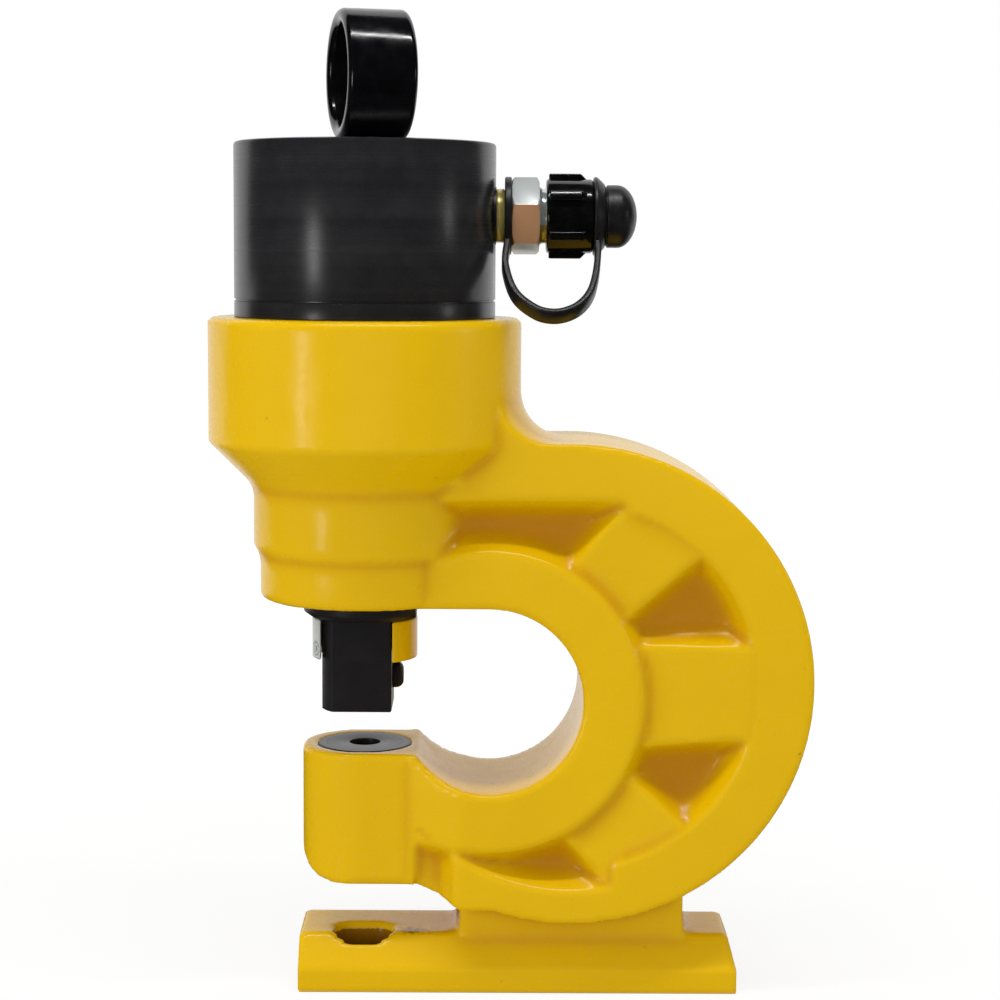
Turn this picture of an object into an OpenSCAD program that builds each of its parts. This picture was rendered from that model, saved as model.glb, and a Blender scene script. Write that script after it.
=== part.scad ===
// Hydraulic C-frame hole punch, in millimetres.
// The punch axis is the Z axis, the base stands on Z = 0, and the throat opens towards -X.

/* [Base plate] */
// Distance from the punch axis to the left end of the base
base_left = 28.4; // [24:0.1:40]
// Distance from the punch axis to the right end of the base
base_right = 166.3; // [150:0.1:180]
// Width of the base plate, front to back
base_w = 57; // [50:1:70]
// Thickness of the base plate
base_t = 24.2; // [19:0.1:27]
// Width of the bevel along the front and back top edges of the base
base_bevel = 10.6; // [6:0.1:13]
// Height of that bevel
base_bevel_h = 13.6; // [7:0.1:15]
// How far the right end of the base leans in at its top
base_lean = 3.4; // [0:0.1:6]
// Length of the bench bolt slot
slot_len = 27; // [22:0.1:32]
// Width of the bench bolt slot
slot_w = 17.4; // [14:0.1:20]
// Distance of the slot's centre in front of the punch axis
slot_front = 11.2; // [11:0.1:13]

/* [C frame] */
// Thickness of the C, front to back
frame_t = 75; // [68:1:84]
// Radius of the throat
throat_r = 41; // [34:0.5:44]
// Distance from the punch axis to the centre of the throat
throat_x = 55.8; // [50:0.1:60]
// Height of the centre of the throat
throat_z = 132.5; // [128:0.5:136]
// Radius of the outside of the C
ring_r = 105.5; // [103:0.5:108]
// Distance from the punch axis to the centre of the outside curve
ring_x = 91.4; // [89:0.1:95]
// Height of the centre of the outside curve
ring_z = 139.8; // [138:0.1:143]
// Fillet between the bowl and the top of the C
top_fillet = 22.5; // [8:0.1:24]
// Thickness of the foot that joins the C to the base
neck_t = 40; // [34:1:48]
// Distance from the punch axis to the left side of the foot
neck_left = 43.4; // [42:0.1:53]
// Distance from the punch axis to the right side of the foot
neck_right = 142.7; // [136:0.1:150]

/* [Pockets] */
// Depth of the pockets cast in each face of the C
pocket_depth = 12; // [6:0.5:15]
// Draft of the pocket walls, in degrees from square
pocket_draft = 31; // [20:1:40]
// Width of the raised band round the throat
inner_band = 25; // [21:0.5:27]
// Width of the outer band beside the two right-hand pockets
outer_band = 24.5; // [18:0.5:28]
// Width of the outer band under the lower pocket
lower_band = 14.5; // [11:0.5:19]
// Depth of the rib faces below the band round the throat
rib_drop = 4; // [1:0.5:5]
// Width of the upper rib at the throat band
rib_up_in = 27.5; // [22:0.5:32]
// Width of the upper rib at the outer band
rib_up_out = 37.5; // [30:0.5:42]
// Width of the level rib
rib_mid = 39; // [30:0.5:43]
// Width of the lower rib at the throat band
rib_low_in = 33.5; // [28:0.5:38]
// Width of the lower rib at the outer band
rib_low_out = 42; // [34:0.5:44]

/* [Die boss] */
// Radius of the round end of the boss
boss_r = 27.7; // [25:0.1:30]
// Height of the top of the boss
boss_top = 107.2; // [104:0.1:110]
// Height of the underside of the boss
boss_low = 48.9; // [45:0.1:53]
// Rounding under the end of the boss
boss_round = 14; // [6:0.5:16]
// Distance from the punch axis to where the boss starts to widen into the C
boss_len = 20; // [16:0.5:22]
// Length of the stretch in which the boss widens into the C
boss_flare = 23.4; // [18:0.1:28]

/* [Bowl and nose] */
// Radius of the bowl that carries the cylinder
bowl_r = 69; // [66:0.5:74]
// Height of the bowl's rim
bowl_top = 298; // [293:0.5:303]
// Height where the bowl's straight side ends
bowl_low = 243.5; // [240:0.5:248]
// Radius of the nose's upper part
nose_r = 49.3; // [47:0.1:52]
// Radius of the nose's lower part
nose_tip_r = 46.4; // [43:0.1:48]
// Height of the small step on the nose
nose_step = 195; // [190:0.5:200]
// Bevel of the bowl's rim and of the nose's lower edge
rim_bevel = 2; // [1:0.5:3]

/* [Cylinder] */
// Outer radius of the cylinder
barrel_r = 57.4; // [56:0.1:62]
// Height of the top of the cylinder
barrel_top = 374; // [370:0.5:380]
// Thickness of the cylinder's closed end
barrel_head = 26; // [22:0.5:30]
// Radius of the piston bore
bore_r = 37.5; // [35:0.5:40]
// Radius of the thread that joins the cylinder to the bowl
barrel_thread_r = 55; // [50:0.5:55]
// Length of that thread
barrel_thread_len = 27; // [22:0.5:30]
// Width and depth of the turned line round the cylinder's foot
barrel_line = 1.2; // [0.6:0.1:2]
// Height of the turned line above the bowl's rim
barrel_line_up = 7; // [4:0.5:12]
// Height of the oil port below the top of the cylinder
port_down = 31.3; // [29:0.1:33]
// Radius of the flat cut round the oil port
port_flat_r = 12.6; // [12:0.1:24]
// Depth of that flat
port_flat = 1; // [0.5:0.1:1.5]

/* [Lifting ring] */
// Outer radius of the lifting ring
eye_r = 28.4; // [27:0.1:32]
// Radius of the ring's hole
eye_hole_r = 22; // [20:0.1:24]
// Width of the ring along its hole
eye_w = 30.4; // [28:0.1:38]
// Rounding of the ring's edges
eye_round = 3; // [1:0.1:3.5]
// Turn of the ring about the punch axis, in degrees
eye_turn = 14.5; // [0:0.1:90]
// How far the middle of the lifting ring lies beside its stud
eye_side = 2.6; // [0:0.1:5]
// Radius of the ring's threaded stud
eye_stud_r = 10; // [8:0.5:12]
// Length of the stud in the cylinder's end
eye_stud_len = 20; // [14:0.5:21]

/* [Ram and punch] */
// Stroke of the ram
stroke = 25; // [20:0.5:26]
// Radius of the ram
ram_r = 20; // [17:0.5:20.5]
// Thickness of the piston
piston_t = 25; // [22:0.5:27]
// Height of the stop ring on the piston
piston_stop = 10; // [9:0.5:12]
// Width of the piston's seal
seal_w = 6; // [4:0.5:8]
// Depth of the piston's seal groove
seal_depth = 5; // [3:0.5:6]
// Width of the piston's guide ring
guide_w = 4; // [3:0.5:5]
// Depth of the guide ring's groove
guide_depth = 2; // [1.5:0.5:3]
// Radius of the bolt that holds the piston
bolt_r = 6; // [4:0.5:7]
// Diameter of the return spring's wire
wire_d = 7; // [5:0.5:7]
// Radius of the spring's coil, to the middle of the wire
coil_r = 29.5; // [28:0.5:30]
// Number of turns of the spring
coil_turns = 6; // [5:1:6]
// Radius of the punch's cutting end
punch_r = 6.75; // [5:0.05:6.8]
// Radius of the punch's shank
shank_r = 8.5; // [8:0.1:8.5]
// Radius of the punch's head
punch_head_r = 12; // [10.5:0.5:12]
// Length of the punch's cutting end
punch_end = 27; // [23:0.5:28]
// Height of the punch's cutting edge at rest above the stripper's lower face
punch_tip_up = 5; // [3:0.5:9]
// Height of the punch nut
nut_h = 22; // [18:0.5:24]
// Radius of the ram's threaded end
ram_end_r = 14; // [13:0.5:15]
// Length of the ram's threaded end
ram_end_len = 12; // [10:0.5:13]
// Length of the guide bush
bush_len = 31; // [28:0.5:34]
// Wall of the guide bush
bush_wall = 5; // [3:0.5:6]
// Thickness of the rod wiper
wiper_t = 3.6; // [2.5:0.1:4]

/* [Stripper] */
// Gap for the sheet between the stripper and the die
sheet_gap = 16.2; // [10:0.1:18]
// Radius of the stripper's body
strip_r = 19.9; // [16:0.1:21]
// Radius of the stripper's conical head
strip_head_r = 27.3; // [25:0.1:28]
// Height of the cone under the head
strip_cone = 2.4; // [1:0.1:4]
// Radius at the lower end of that cone
strip_rim_r = 24; // [21:0.1:25]
// Distance from the punch axis to the flat on the stripper's front
strip_front = 14; // [12.5:0.1:15]
// Distance from the punch axis to the flat on the stripper's outer side
strip_left = 18.8; // [16:0.1:20]
// Distance from the punch axis to the flat on the stripper's throat side
strip_side = 12.4; // [11.5:0.1:13]
// Outer radius of the holder's collar
collar_r = 23.5; // [22.5:0.1:25]
// Height of the holder's collar below the nose
collar_h = 26.8; // [22:0.1:30]
// Radius of the holder's thread in the nose
holder_r = 30; // [28:0.5:34]
// Height of the holder's thread in the nose
holder_h = 24; // [16:0.5:26]
// Radius of the small set screw in the collar
set_r = 2.8; // [2:0.1:3]
// Radius of the side screw's head
side_r = 6; // [4.5:0.1:7]

/* [Die] */
// Radius of the die
die_r = 20.8; // [16:0.1:22]
// Height of the die
die_h = 20; // [16:0.5:24]
// Clearance between the punch and the die's edge
die_gap = 0.25; // [0.1:0.05:0.5]
// Height of the die's cutting land
die_land = 8; // [5:0.5:10]
// Radius of the slug passage under the die
slug_r = 10; // [9:0.5:12]
// Radius of the screw that locks the die
die_screw_r = 4; // [3:0.5:5]

/* [Oil coupling] */
// Radius of the port's thread
port_r = 8.1; // [6:0.1:9]
// Depth of the port's thread
port_depth = 12.8; // [11:0.1:14]
// Radius of the nipple's collar
nipple_r = 11.8; // [10:0.1:12]
// Length of the nipple's collar
nipple_len = 3.6; // [3:0.1:5]
// Radius of the nipple's thread in the coupler
nipple_thread_r = 7.5; // [6.5:0.1:8]
// Thickness of the seal washer under the nipple
washer_t = 1.2; // [0.8:0.1:1.6]
// Distance across the flats of the coupler's hexagon
hex_af = 30; // [26:0.5:32]
// Length of the coupler's hexagon
hex_len = 12; // [9:0.1:13]
// Turn of the hexagon about the coupling's axis, in degrees
hex_turn = 14.3; // [0:0.1:60]
// Radius of the coupler's neck
coupler_neck_r = 12; // [10:0.1:12.4]
// Length of the neck that shows
coupler_neck = 3; // [2:0.1:6]
// Radius of the coupler's threaded nose
coupler_nose_r = 12.6; // [11:0.1:13]
// Length of the threaded nose
coupler_nose = 13.9; // [12.5:0.1:15]
// Travel of the coupler's valve
valve_travel = 3; // [2:0.1:3]
// Radius of the dust cap between its ribs
cap_r = 16.2; // [14.5:0.1:17]
// Height of the dust cap's ribs
cap_rib = 2.3; // [1:0.1:3]
// Width of the dust cap's ribs
cap_rib_w = 4.4; // [2.5:0.1:5]
// Number of ribs on the dust cap
cap_ribs = 6; // [4:1:10]
// Length of the dust cap
cap_len = 20.4; // [16.5:0.1:24]
// Pitch of the dust cap's thread
cap_pitch = 1.5; // [1:0.1:2]

/* [Cap strap] */
// Width of the rubber strap
strap_w = 8; // [6:0.5:10]
// Thickness of the rubber strap
strap_t = 2.8; // [2:0.1:3]
// Lean of the hanging strap towards the front, in degrees
strap_lean = 42; // [0:1:50]
// How far the strap hangs below the coupling's axis
strap_drop = 57.4; // [44:0.1:60]
// Outer radius of the strap's ring
strap_ring_r = 17; // [13:0.5:19]
// Radius of the flange on the strap's plug
plug_flange_r = 17.2; // [15:0.1:18]
// Thickness of the plug's flange
plug_flange = 1.8; // [1:0.1:4]
// Length of the taper between the flange and the dome
plug_taper = 3.8; // [2:0.1:5]
// Radius of the plug's dome
plug_dome_r = 13.7; // [11:0.1:14]
// Length of the plug beyond the dust cap
plug_len = 19.2; // [19:0.1:24]

/* [Hidden] */

$fn = 96;
eps = 0.5;

// Clearances
thread_gap = 0.05;
run_gap = 0.05;
seat_gap = 0.3;
slide_gap = 0.5;

paint = "#dcae00";
black_oxide = "#2b2b2d";
bright_steel = "#9a9ca0";
zinc = "#c9ccd0";
yellow_zinc = "#b9a052";
bronze = "#a9793a";
rubber_black = "#1d1d1f";
seal_green = "#2f5d46";

// Heights up the punch axis
nose_low = throat_z + throat_r;
cone_low = bowl_low - (bowl_r - nose_r);
strip_low = boss_top + sheet_gap;
holder_top = nose_low + holder_h;
head_top = nose_low - seat_gap;
cone_top = head_top - 5.7;
nut_recess = cone_top;
punch_tip = strip_low + punch_tip_up;
nut_low = nose_low - 2 + stroke;
nut_top = nut_low + nut_h;
nut_floor = 4;
ram_low = nut_top - ram_end_len;
nut_bore_r = ram_r - run_gap;
bush_bore_r = ram_r + run_gap;
bush_r = ram_r + bush_wall;
bush_low = holder_top + wiper_t + 0.4;
spring_floor = bush_low + bush_len;
spring_room_r = bore_r + 2.5;
chamber_top = barrel_top - barrel_head;
stop_top = chamber_top - seat_gap;
piston_top = stop_top - piston_stop;
piston_low = piston_top - piston_t;
piston_r = bore_r - run_gap;
thread_low = bowl_top - barrel_thread_len;
die_low = boss_top - die_h;
die_hole_r = punch_r + die_gap;
holder_bore_r = ram_r + 0.6;

// Rib and arm details
rib_len = 46;
rib_step = 0.6;
arm_drop = 9;
blend_bite = 0.4;
cut_deep = ring_r;

// Piston details
seal_up = 9.5;
guide_up = 2.5;
stop_in_r = 12;
stop_out_r = ram_r;
bolt_head_r = 1.5 * bolt_r;
bolt_head_h = 8;
bolt_len = 33;

// Stripper details
strip_floor = 6;
strip_bore_r = punch_r + 0.35;
strip_room_r = shank_r + slide_gap;
head_side = 23.2;
head_back = 3;
collar_low = nose_low - collar_h;
collar_bore_r = strip_r + seat_gap;
collar_slot_left = strip_left + seat_gap;
collar_slot_right = strip_side + 0.6;
set_angle = 205;
set_up = 4.6;
side_up = 14;
side_back = 4;
side_head = 4.8;
side_round = 3.4;

// Places along the coupling's axis, measured from the punch axis
port_z = barrel_top - port_down;
flat_x = barrel_r - port_flat;
port_end_x = barrel_r - port_depth + 0.5;
nipple_x = flat_x + washer_t;
nipple_end_x = nipple_x + nipple_len;
strap_ring_x = nipple_end_x + 0.1;
strap_ring_t = 3;
hex_x = strap_ring_x + strap_ring_t + 0.1;
neck_x = hex_x + hex_len;
cap_x = neck_x + coupler_neck;
nose_end_x = cap_x + coupler_nose;
cap_end_x = cap_x + cap_len;
cap_bore_r = coupler_nose_r + seat_gap;
cap_hole_r = 6.2;
cap_wall_x = nose_end_x + seat_gap;
nipple_thread_len = 7.5;
nipple_hole_r = 3;
valve_room_r = 6;
valve_room_x = neck_x + 0.6;
valve_lip = 2.2;
valve_stem_r = 3;
valve_head_t = 2;
valve_spring_len = 9;
valve_head_x = valve_room_x + valve_spring_len;
valve_wire = 0.9;
valve_coil_r = 4.4;
valve_turns = 4;
plug_x = cap_end_x + seat_gap;
dome_x = plug_x + plug_flange + plug_taper;
plug_end_x = plug_x + plug_len;
plug_stub_r = cap_hole_r - 0.2;
dome_bulge = 0.64;
strap_start_x = strap_ring_x + strap_ring_t / 2;
strap_end_x = plug_x + strap_t / 2 + 0.1;
strap_end_down = plug_flange_r + seat_gap;
cap_travel = 3 * cap_pitch;
cap_slope_x = plug_x + 0.1 - cap_travel - (cap_r + cap_rib - strap_end_down + 0.2);

// The strap's middle line: how far along from its ring to its plug, and how far down to its lowest point
strap_route = [
  [0, -0.16], [-0.01, -0.02], [-0.037, 0.24], [-0.015, 0.427], [0.028, 0.6], [0.088, 0.735], [0.182, 0.85],
  [0.328, 0.962], [0.463, 1], [0.592, 0.989], [0.73, 0.924], [0.84, 0.814], [0.915, 0.67], [0.96, 0.49],
  [0.985, 0.32], [1, 0.155], [1, 0]
];
strap_steps = 4;

// Turns a shape drawn along Z so that it lies along X at the oil port
module at_port(x) {
  translate([x, 0, port_z]) rotate([0, 90, 0]) children();
}

// A ring or tube standing on Z = 0
module tube(r_out, r_in, h) {
  difference() {
    cylinder(r = r_out, h = h);
    translate([0, 0, -eps]) cylinder(r = r_in, h = h + 2 * eps);
  }
}

// A plate drawn in the XZ plane, centred on Y = 0
module upright(t) {
  rotate([90, 0, 0]) linear_extrude(t, center = true) children();
}

// Points of a circular arc
function arc(cx, cy, r, a0, a1, n) =
  [for (i = [0:n]) let (a = a0 + (a1 - a0) * i / n) [cx + r * cos(a), cy + r * sin(a)]];

// Point on a smooth curve through p1 and p2, with p0 and p3 beside them
function smooth(p0, p1, p2, p3, t) =
  0.5 * (2 * p1 + (p2 - p0) * t + (2 * p0 - 5 * p1 + 4 * p2 - p3) * t * t
    + (3 * p1 - p0 - 3 * p2 + p3) * t * t * t);

// All points of a smooth curve through a route, with n steps between two of its points
function smooth_route(p, n) = concat(
  [for (i = [0:len(p) - 2], j = [0:n - 1])
    smooth(p[max(i - 1, 0)], p[i], p[i + 1], p[min(i + 2, len(p) - 1)], j / n)],
  [p[len(p) - 1]]);

// Faces of a closed tube made of rings of m points each
function tube_faces(rings, m) = concat(
  [[for (k = [0:m - 1]) k]],
  [for (i = [0:rings - 2], k = [0:m - 1])
    let (a = i * m + k, b = i * m + (k + 1) % m) [a, a + m, b]],
  [for (i = [0:rings - 2], k = [0:m - 1])
    let (a = i * m + k, b = i * m + (k + 1) % m) [b, a + m, b + m]],
  [[for (k = [m - 1:-1:0]) (rings - 1) * m + k]]);

// A coil spring on the Z axis, from z = 0 to z = len, with closed end turns
module coil(r, wire, len, turns, per_turn, sides) {
  steps = turns * per_turn;
  rise = len - wire;
  points = [for (i = [0:steps], k = [0:sides - 1])
    let (
      u = i / steps,
      a = 360 * turns * u,
      ease = u < 1 / turns ? u * u * turns / 2
        : u > 1 - 1 / turns ? 1 - 1 / turns - (1 - u) * (1 - u) * turns / 2 : u - 1 / turns / 2,
      z = wire / 2 + rise * ease / (1 - 1 / turns),
      b = -360 * k / sides,
      q = r + wire / 2 * cos(b)
    ) [q * cos(a), q * sin(a), z + wire / 2 * sin(b)]];
  polyhedron(points, tube_faces(steps + 1, sides));
}

// Outline of the C, its lower arm and the top that runs to the bowl, without the throat
module c_outline() {
  c_top = ring_z + ring_r;
  arm_low = boss_low - arm_drop;
  translate([ring_x, ring_z]) circle(ring_r, $fn = 180);
  translate([0, nose_low]) square([ring_x, c_top - nose_low]);
  difference() {
    polygon([[-boss_r, boss_low], [boss_len + 3, boss_low], [neck_left, arm_low],
      [ring_x, arm_low], [ring_x, boss_top], [-boss_r, boss_top]]);
    translate([-boss_r - 1, boss_low - 1]) square(boss_round + 1);
  }
  translate([boss_round - boss_r, boss_low + boss_round]) circle(boss_round);
}

// The space of the throat and of its mouth towards the punch axis
module throat() {
  translate([throat_x, throat_z]) circle(throat_r, $fn = 128);
  translate([-bowl_r, boss_top]) square([bowl_r + throat_x, nose_low - boss_top]);
}

// Plan of the lower arm: the round boss, then the flare out to the thickness of the C
module arm_plan() {
  w = frame_t / 2;
  flare_end = boss_len + boss_flare;
  circle(boss_r);
  polygon([[0, -boss_r], [boss_len, -boss_r], [flare_end, -w], [ring_x + ring_r, -w],
    [ring_x + ring_r, w], [flare_end, w], [boss_len, boss_r], [0, boss_r]]);
}

// The C with its arms and the boss
module c_body() {
  reach = bowl_r + ring_x + ring_r;
  difference() {
    upright(frame_t) c_outline();
    upright(frame_t + 1) throat();
    difference() {
      translate([-bowl_r, -frame_t, 0]) cube([reach, 2 * frame_t, throat_z]);
      translate([0, 0, -1]) linear_extrude(throat_z + 2) arm_plan();
    }
  }
}

// The bowl, the cone under it and the nose
module bowl() {
  rotate_extrude($fn = 128) polygon([
    [0, nose_low], [nose_tip_r - rim_bevel, nose_low], [nose_tip_r, nose_low + rim_bevel],
    [nose_tip_r, nose_step], [nose_r, nose_step + (nose_r - nose_tip_r) / 2],
    [nose_r, cone_low], [bowl_r, bowl_low], [bowl_r, bowl_top - rim_bevel],
    [bowl_r - rim_bevel, bowl_top], [0, bowl_top]]);
}

// The blend between the bowl's wall and the top of the C
module top_blend() {
  c_top = ring_z + ring_r;
  start = top_fillet - blend_bite;
  intersection() {
    rotate_extrude($fn = 128) difference() {
      translate([bowl_r - start, c_top - start]) square(2 * start);
      translate([bowl_r + start, c_top + start]) circle(top_fillet, $fn = 96);
    }
    translate([0, -frame_t / 2, c_top - start]) cube([ring_x, frame_t, 2 * start]);
  }
}

// The foot under the C and the bevelled base plate
module foot_and_base() {
  w = base_w / 2;
  translate([neck_left, -neck_t / 2, base_t / 2])
    cube([neck_right - neck_left, neck_t, boss_low - base_t / 2 + 8]);
  intersection() {
    upright(base_w + 1) polygon([[-base_left, 0], [base_right, 0],
      [base_right, base_t - base_bevel_h], [base_right - base_lean, base_t], [-base_left, base_t]]);
    translate([-base_left - 1, 0, 0]) rotate([90, 0, 90]) linear_extrude(base_left + base_right + 2)
      polygon([[-w, 0], [w, 0], [w, base_t - base_bevel_h], [w - base_bevel, base_t],
        [base_bevel - w, base_t], [-w, base_t - base_bevel_h]]);
  }
}

// The long slot for a bench bolt, in front of the punch axis
module base_slot() {
  reach = (slot_len - slot_w) / 2;
  translate([0, -slot_front, -eps]) {
    for (s = [-1, 1]) translate([s * reach, 0, 0]) cylinder(d = slot_w, h = base_t + 2 * eps);
    translate([-reach, -slot_w / 2, 0]) cube([2 * reach, slot_w, base_t + 2 * eps]);
  }
}

// A frustum sunk into the front face: its radius at the face is r and changes with the draft
module sunk_cone(x, z, r, way) {
  run = way * tan(pocket_draft);
  translate([x, -frame_t / 2 - eps, z]) rotate([-90, 0, 0])
    cylinder(r1 = r - run * eps, r2 = r + run * pocket_depth, h = pocket_depth + eps, $fn = 128);
}

// All that lies under a line in the front face, from x0 to x1 along it, bounded by a drafted wall
module under_line(p, angle, x0, x1, way) {
  translate([p[0], -frame_t / 2, p[1]]) rotate([0, -angle, 0]) rotate([way * pocket_draft, 0, 0])
    translate([x0, -cut_deep / 5, -cut_deep]) cube([x1 - x0, cut_deep, cut_deep]);
}

// A rib between two pockets, square to the throat's centre; its face rises towards the outer band
module rib(angle, w_in, w_out) {
  r_in = throat_r + inner_band;
  along = [cos(angle), sin(angle)];
  across = [-sin(angle), cos(angle)];
  start = [throat_x, throat_z] + r_in * along;
  spread = atan((w_out - w_in) / 2 / rib_len);
  intersection() {
    under_line(start + across * w_in / 2, angle + spread, -rib_len / 3, 2 * rib_len, 1);
    under_line(start - across * w_in / 2, angle - spread + 180, -2 * rib_len, rib_len / 3, 1);
    translate([start[0], rib_drop - frame_t / 2, start[1]]) rotate([0, -angle, 0])
      rotate([0, 0, -atan((rib_drop - rib_step) / rib_len)]) translate([-rib_len / 2, 0, -rib_len])
        cube([3 * rib_len, rib_len, 2 * rib_len]);
  }
}

// The zone of the pockets inside the outer band
module pocket_zone() {
  sunk_cone(ring_x, ring_z, ring_r - outer_band, -1);
  intersection() {
    sunk_cone(ring_x, ring_z, ring_r - lower_band, -1);
    translate([0, -frame_t, 0]) cube([ring_x + 20, frame_t, ring_z - ring_r / 2]);
  }
  intersection() {
    under_line([0, ring_z + ring_r - outer_band + rib_step], 0, 0, ring_x + outer_band, -1);
    translate([0, -frame_t / 2 - eps, ring_z]) cube([ring_x + 30, pocket_depth + eps, ring_r]);
  }
  intersection() {
    under_line([neck_left - 2, ring_z], -90, cut_deep / 10, 1.1 * cut_deep, -1);
    translate([0, -frame_t / 2 - eps, 0]) cube([ring_x, pocket_depth + eps, ring_z]);
  }
}

// The pockets and the sunk rib faces of the front
module front_relief() {
  difference() {
    pocket_zone();
    rib(45.5, rib_up_in, rib_up_out);
    rib(2.5, rib_mid, rib_mid);
    rib(-44.5, rib_low_in, rib_low_out);
    sunk_cone(throat_x, throat_z, throat_r + inner_band, 1);
    translate([-1, -frame_t, 0]) cube([boss_len + 4, frame_t, ring_z]);
  }
}

// The casting: bowl, nose, C, die boss, foot and base in one piece
module c_frame() {
  color(paint) difference() {
    union() {
      difference() {
        c_body();
        front_relief();
        mirror([0, 1, 0]) front_relief();
      }
      bowl();
      top_blend();
      foot_and_base();
    }
    translate([0, 0, thread_low]) cylinder(r = barrel_thread_r, h = barrel_thread_len + eps);
    translate([0, 0, spring_floor]) cylinder(r = spring_room_r, h = bowl_top - spring_floor);
    translate([0, 0, nose_low]) cylinder(r = bush_r, h = bowl_top - nose_low);
    translate([0, 0, nose_low - eps]) cylinder(r = holder_r, h = holder_h + eps);
    translate([0, 0, die_low]) cylinder(r = die_r + thread_gap, h = die_h + eps);
    translate([0, 0, boss_low - eps]) cylinder(r = slug_r, h = boss_top - boss_low);
    translate([0, 0, die_low + die_h / 2]) rotate([-90, 0, 0])
      cylinder(r = die_screw_r + thread_gap, h = boss_r + 5);
    base_slot();
  }
}

// The black cylinder, screwed into the bowl, with the oil port in its side
module barrel() {
  color(black_oxide) difference() {
    union() {
      translate([0, 0, thread_low]) cylinder(r = barrel_thread_r - thread_gap, h = barrel_thread_len);
      rotate_extrude($fn = 128) polygon([
        [0, bowl_top], [barrel_r, bowl_top],
        [barrel_r, bowl_top + barrel_line_up],
        [barrel_r - barrel_line / 2, bowl_top + barrel_line_up + barrel_line / 2],
        [barrel_r, bowl_top + barrel_line_up + barrel_line],
        [barrel_r, barrel_top - 1.5], [barrel_r - 1.5, barrel_top], [0, barrel_top]]);
    }
    translate([0, 0, thread_low - eps]) cylinder(r = bore_r, h = chamber_top - thread_low + eps);
    translate([0, 0, barrel_top - eye_stud_len]) cylinder(r = eye_stud_r + thread_gap, h = eye_stud_len + eps);
    at_port(bore_r - 2) cylinder(r = nipple_hole_r, h = barrel_r - bore_r + 2);
    at_port(barrel_r - port_depth) cylinder(r = port_r + thread_gap, h = port_depth + eps);
    at_port(flat_x) cylinder(r = port_flat_r, h = 4);
  }
}

// The lifting ring with its threaded stud
module lifting_ring() {
  h = eye_w / 2;
  centre_z = barrel_top + eye_r + 0.8;
  module corner_arc(r, x, a0) {
    polygon(arc(r, x, eye_round, a0, a0 + 90, 6));
  }
  color(black_oxide) {
    translate([eye_side, 0, centre_z]) rotate([0, 0, eye_turn]) rotate([0, 90, 0])
      rotate_extrude($fn = 128) polygon(concat(
        arc(eye_r - eye_round, h - eye_round, eye_round, 0, 90, 6),
        arc(eye_hole_r + eye_round, h - eye_round, eye_round, 90, 180, 6),
        arc(eye_hole_r + eye_round, eye_round - h, eye_round, 180, 270, 6),
        arc(eye_r - eye_round, eye_round - h, eye_round, 270, 360, 6)));
    translate([0, 0, barrel_top - eye_stud_len + 0.5])
      cylinder(r = eye_stud_r, h = eye_stud_len + 3);
  }
}

// The bonded washer between the cylinder and the nipple
module port_seal() {
  color(seal_green) at_port(flat_x) tube(nipple_r + 0.8, port_r + thread_gap + 0.1, washer_t);
}

// The plated nipple that carries the coupler
module port_nipple() {
  color(yellow_zinc) difference() {
    union() {
      at_port(port_end_x) cylinder(r = port_r, h = nipple_x + eps - port_end_x);
      at_port(nipple_x) cylinder(r = nipple_r, h = nipple_len);
      at_port(nipple_x) cylinder(r = nipple_thread_r, h = hex_x - nipple_x + nipple_thread_len);
    }
    at_port(port_end_x - eps) cylinder(r = nipple_hole_r, h = hex_x + nipple_thread_len - port_end_x + 2 * eps);
  }
}

// The coupler half: hexagon, neck and threaded nose, with its valve room
module coupler_body() {
  color(zinc) difference() {
    union() {
      at_port(hex_x) rotate([0, 0, hex_turn]) intersection() {
        cylinder(d = hex_af / cos(30), h = hex_len, $fn = 6);
        cylinder(r1 = hex_af / 2 + 0.4, r2 = hex_af / 2 + hex_len + 0.4, h = hex_len);
        cylinder(r1 = hex_af / 2 + hex_len + 0.4, r2 = hex_af / 2 + 0.4, h = hex_len);
      }
      at_port(neck_x) cylinder(r = coupler_neck_r, h = coupler_neck);
      at_port(cap_x) cylinder(r = coupler_nose_r, h = coupler_nose);
    }
    at_port(hex_x - eps) cylinder(r = nipple_thread_r + thread_gap, h = nipple_thread_len + 0.3 + eps);
    at_port(hex_x) cylinder(r = nipple_hole_r, h = hex_len + 2);
    at_port(valve_room_x) cylinder(r = valve_room_r, h = nose_end_x - valve_lip - valve_room_x);
    at_port(cap_x) cylinder(r = valve_stem_r + 0.2, h = coupler_nose + eps);
  }
}

// The coupler's spring valve
module coupler_poppet() {
  stop_x = nose_end_x - valve_lip - 0.2;
  color(bright_steel) {
    at_port(valve_head_x) cylinder(r = valve_room_r - 0.2, h = valve_head_t);
    at_port(valve_head_x) cylinder(r = valve_stem_r, h = nose_end_x - 0.1 - valve_head_x);
    at_port(stop_x - 2) cylinder(r1 = valve_stem_r, r2 = valve_room_r - 0.8, h = 2);
  }
}

// The valve's small spring
module poppet_spring() {
  color(bright_steel) at_port(valve_room_x + 0.1)
    coil(valve_coil_r, valve_wire, valve_spring_len - 0.2, valve_turns, 16, 6);
}

// One rib of the dust cap: its far end slopes, and so passes the strap as the cap is unscrewed
module cap_bar() {
  slope = cap_slope_x - cap_x;
  translate([0, cap_rib_w / 2, 0]) rotate([90, 0, 0]) linear_extrude(cap_rib_w)
    polygon([[cap_r - 1, 1.2], [cap_r + cap_rib, 1.2], [cap_r + cap_rib, slope],
      [cap_r - 1, slope + cap_rib + 1]]);
}

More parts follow.
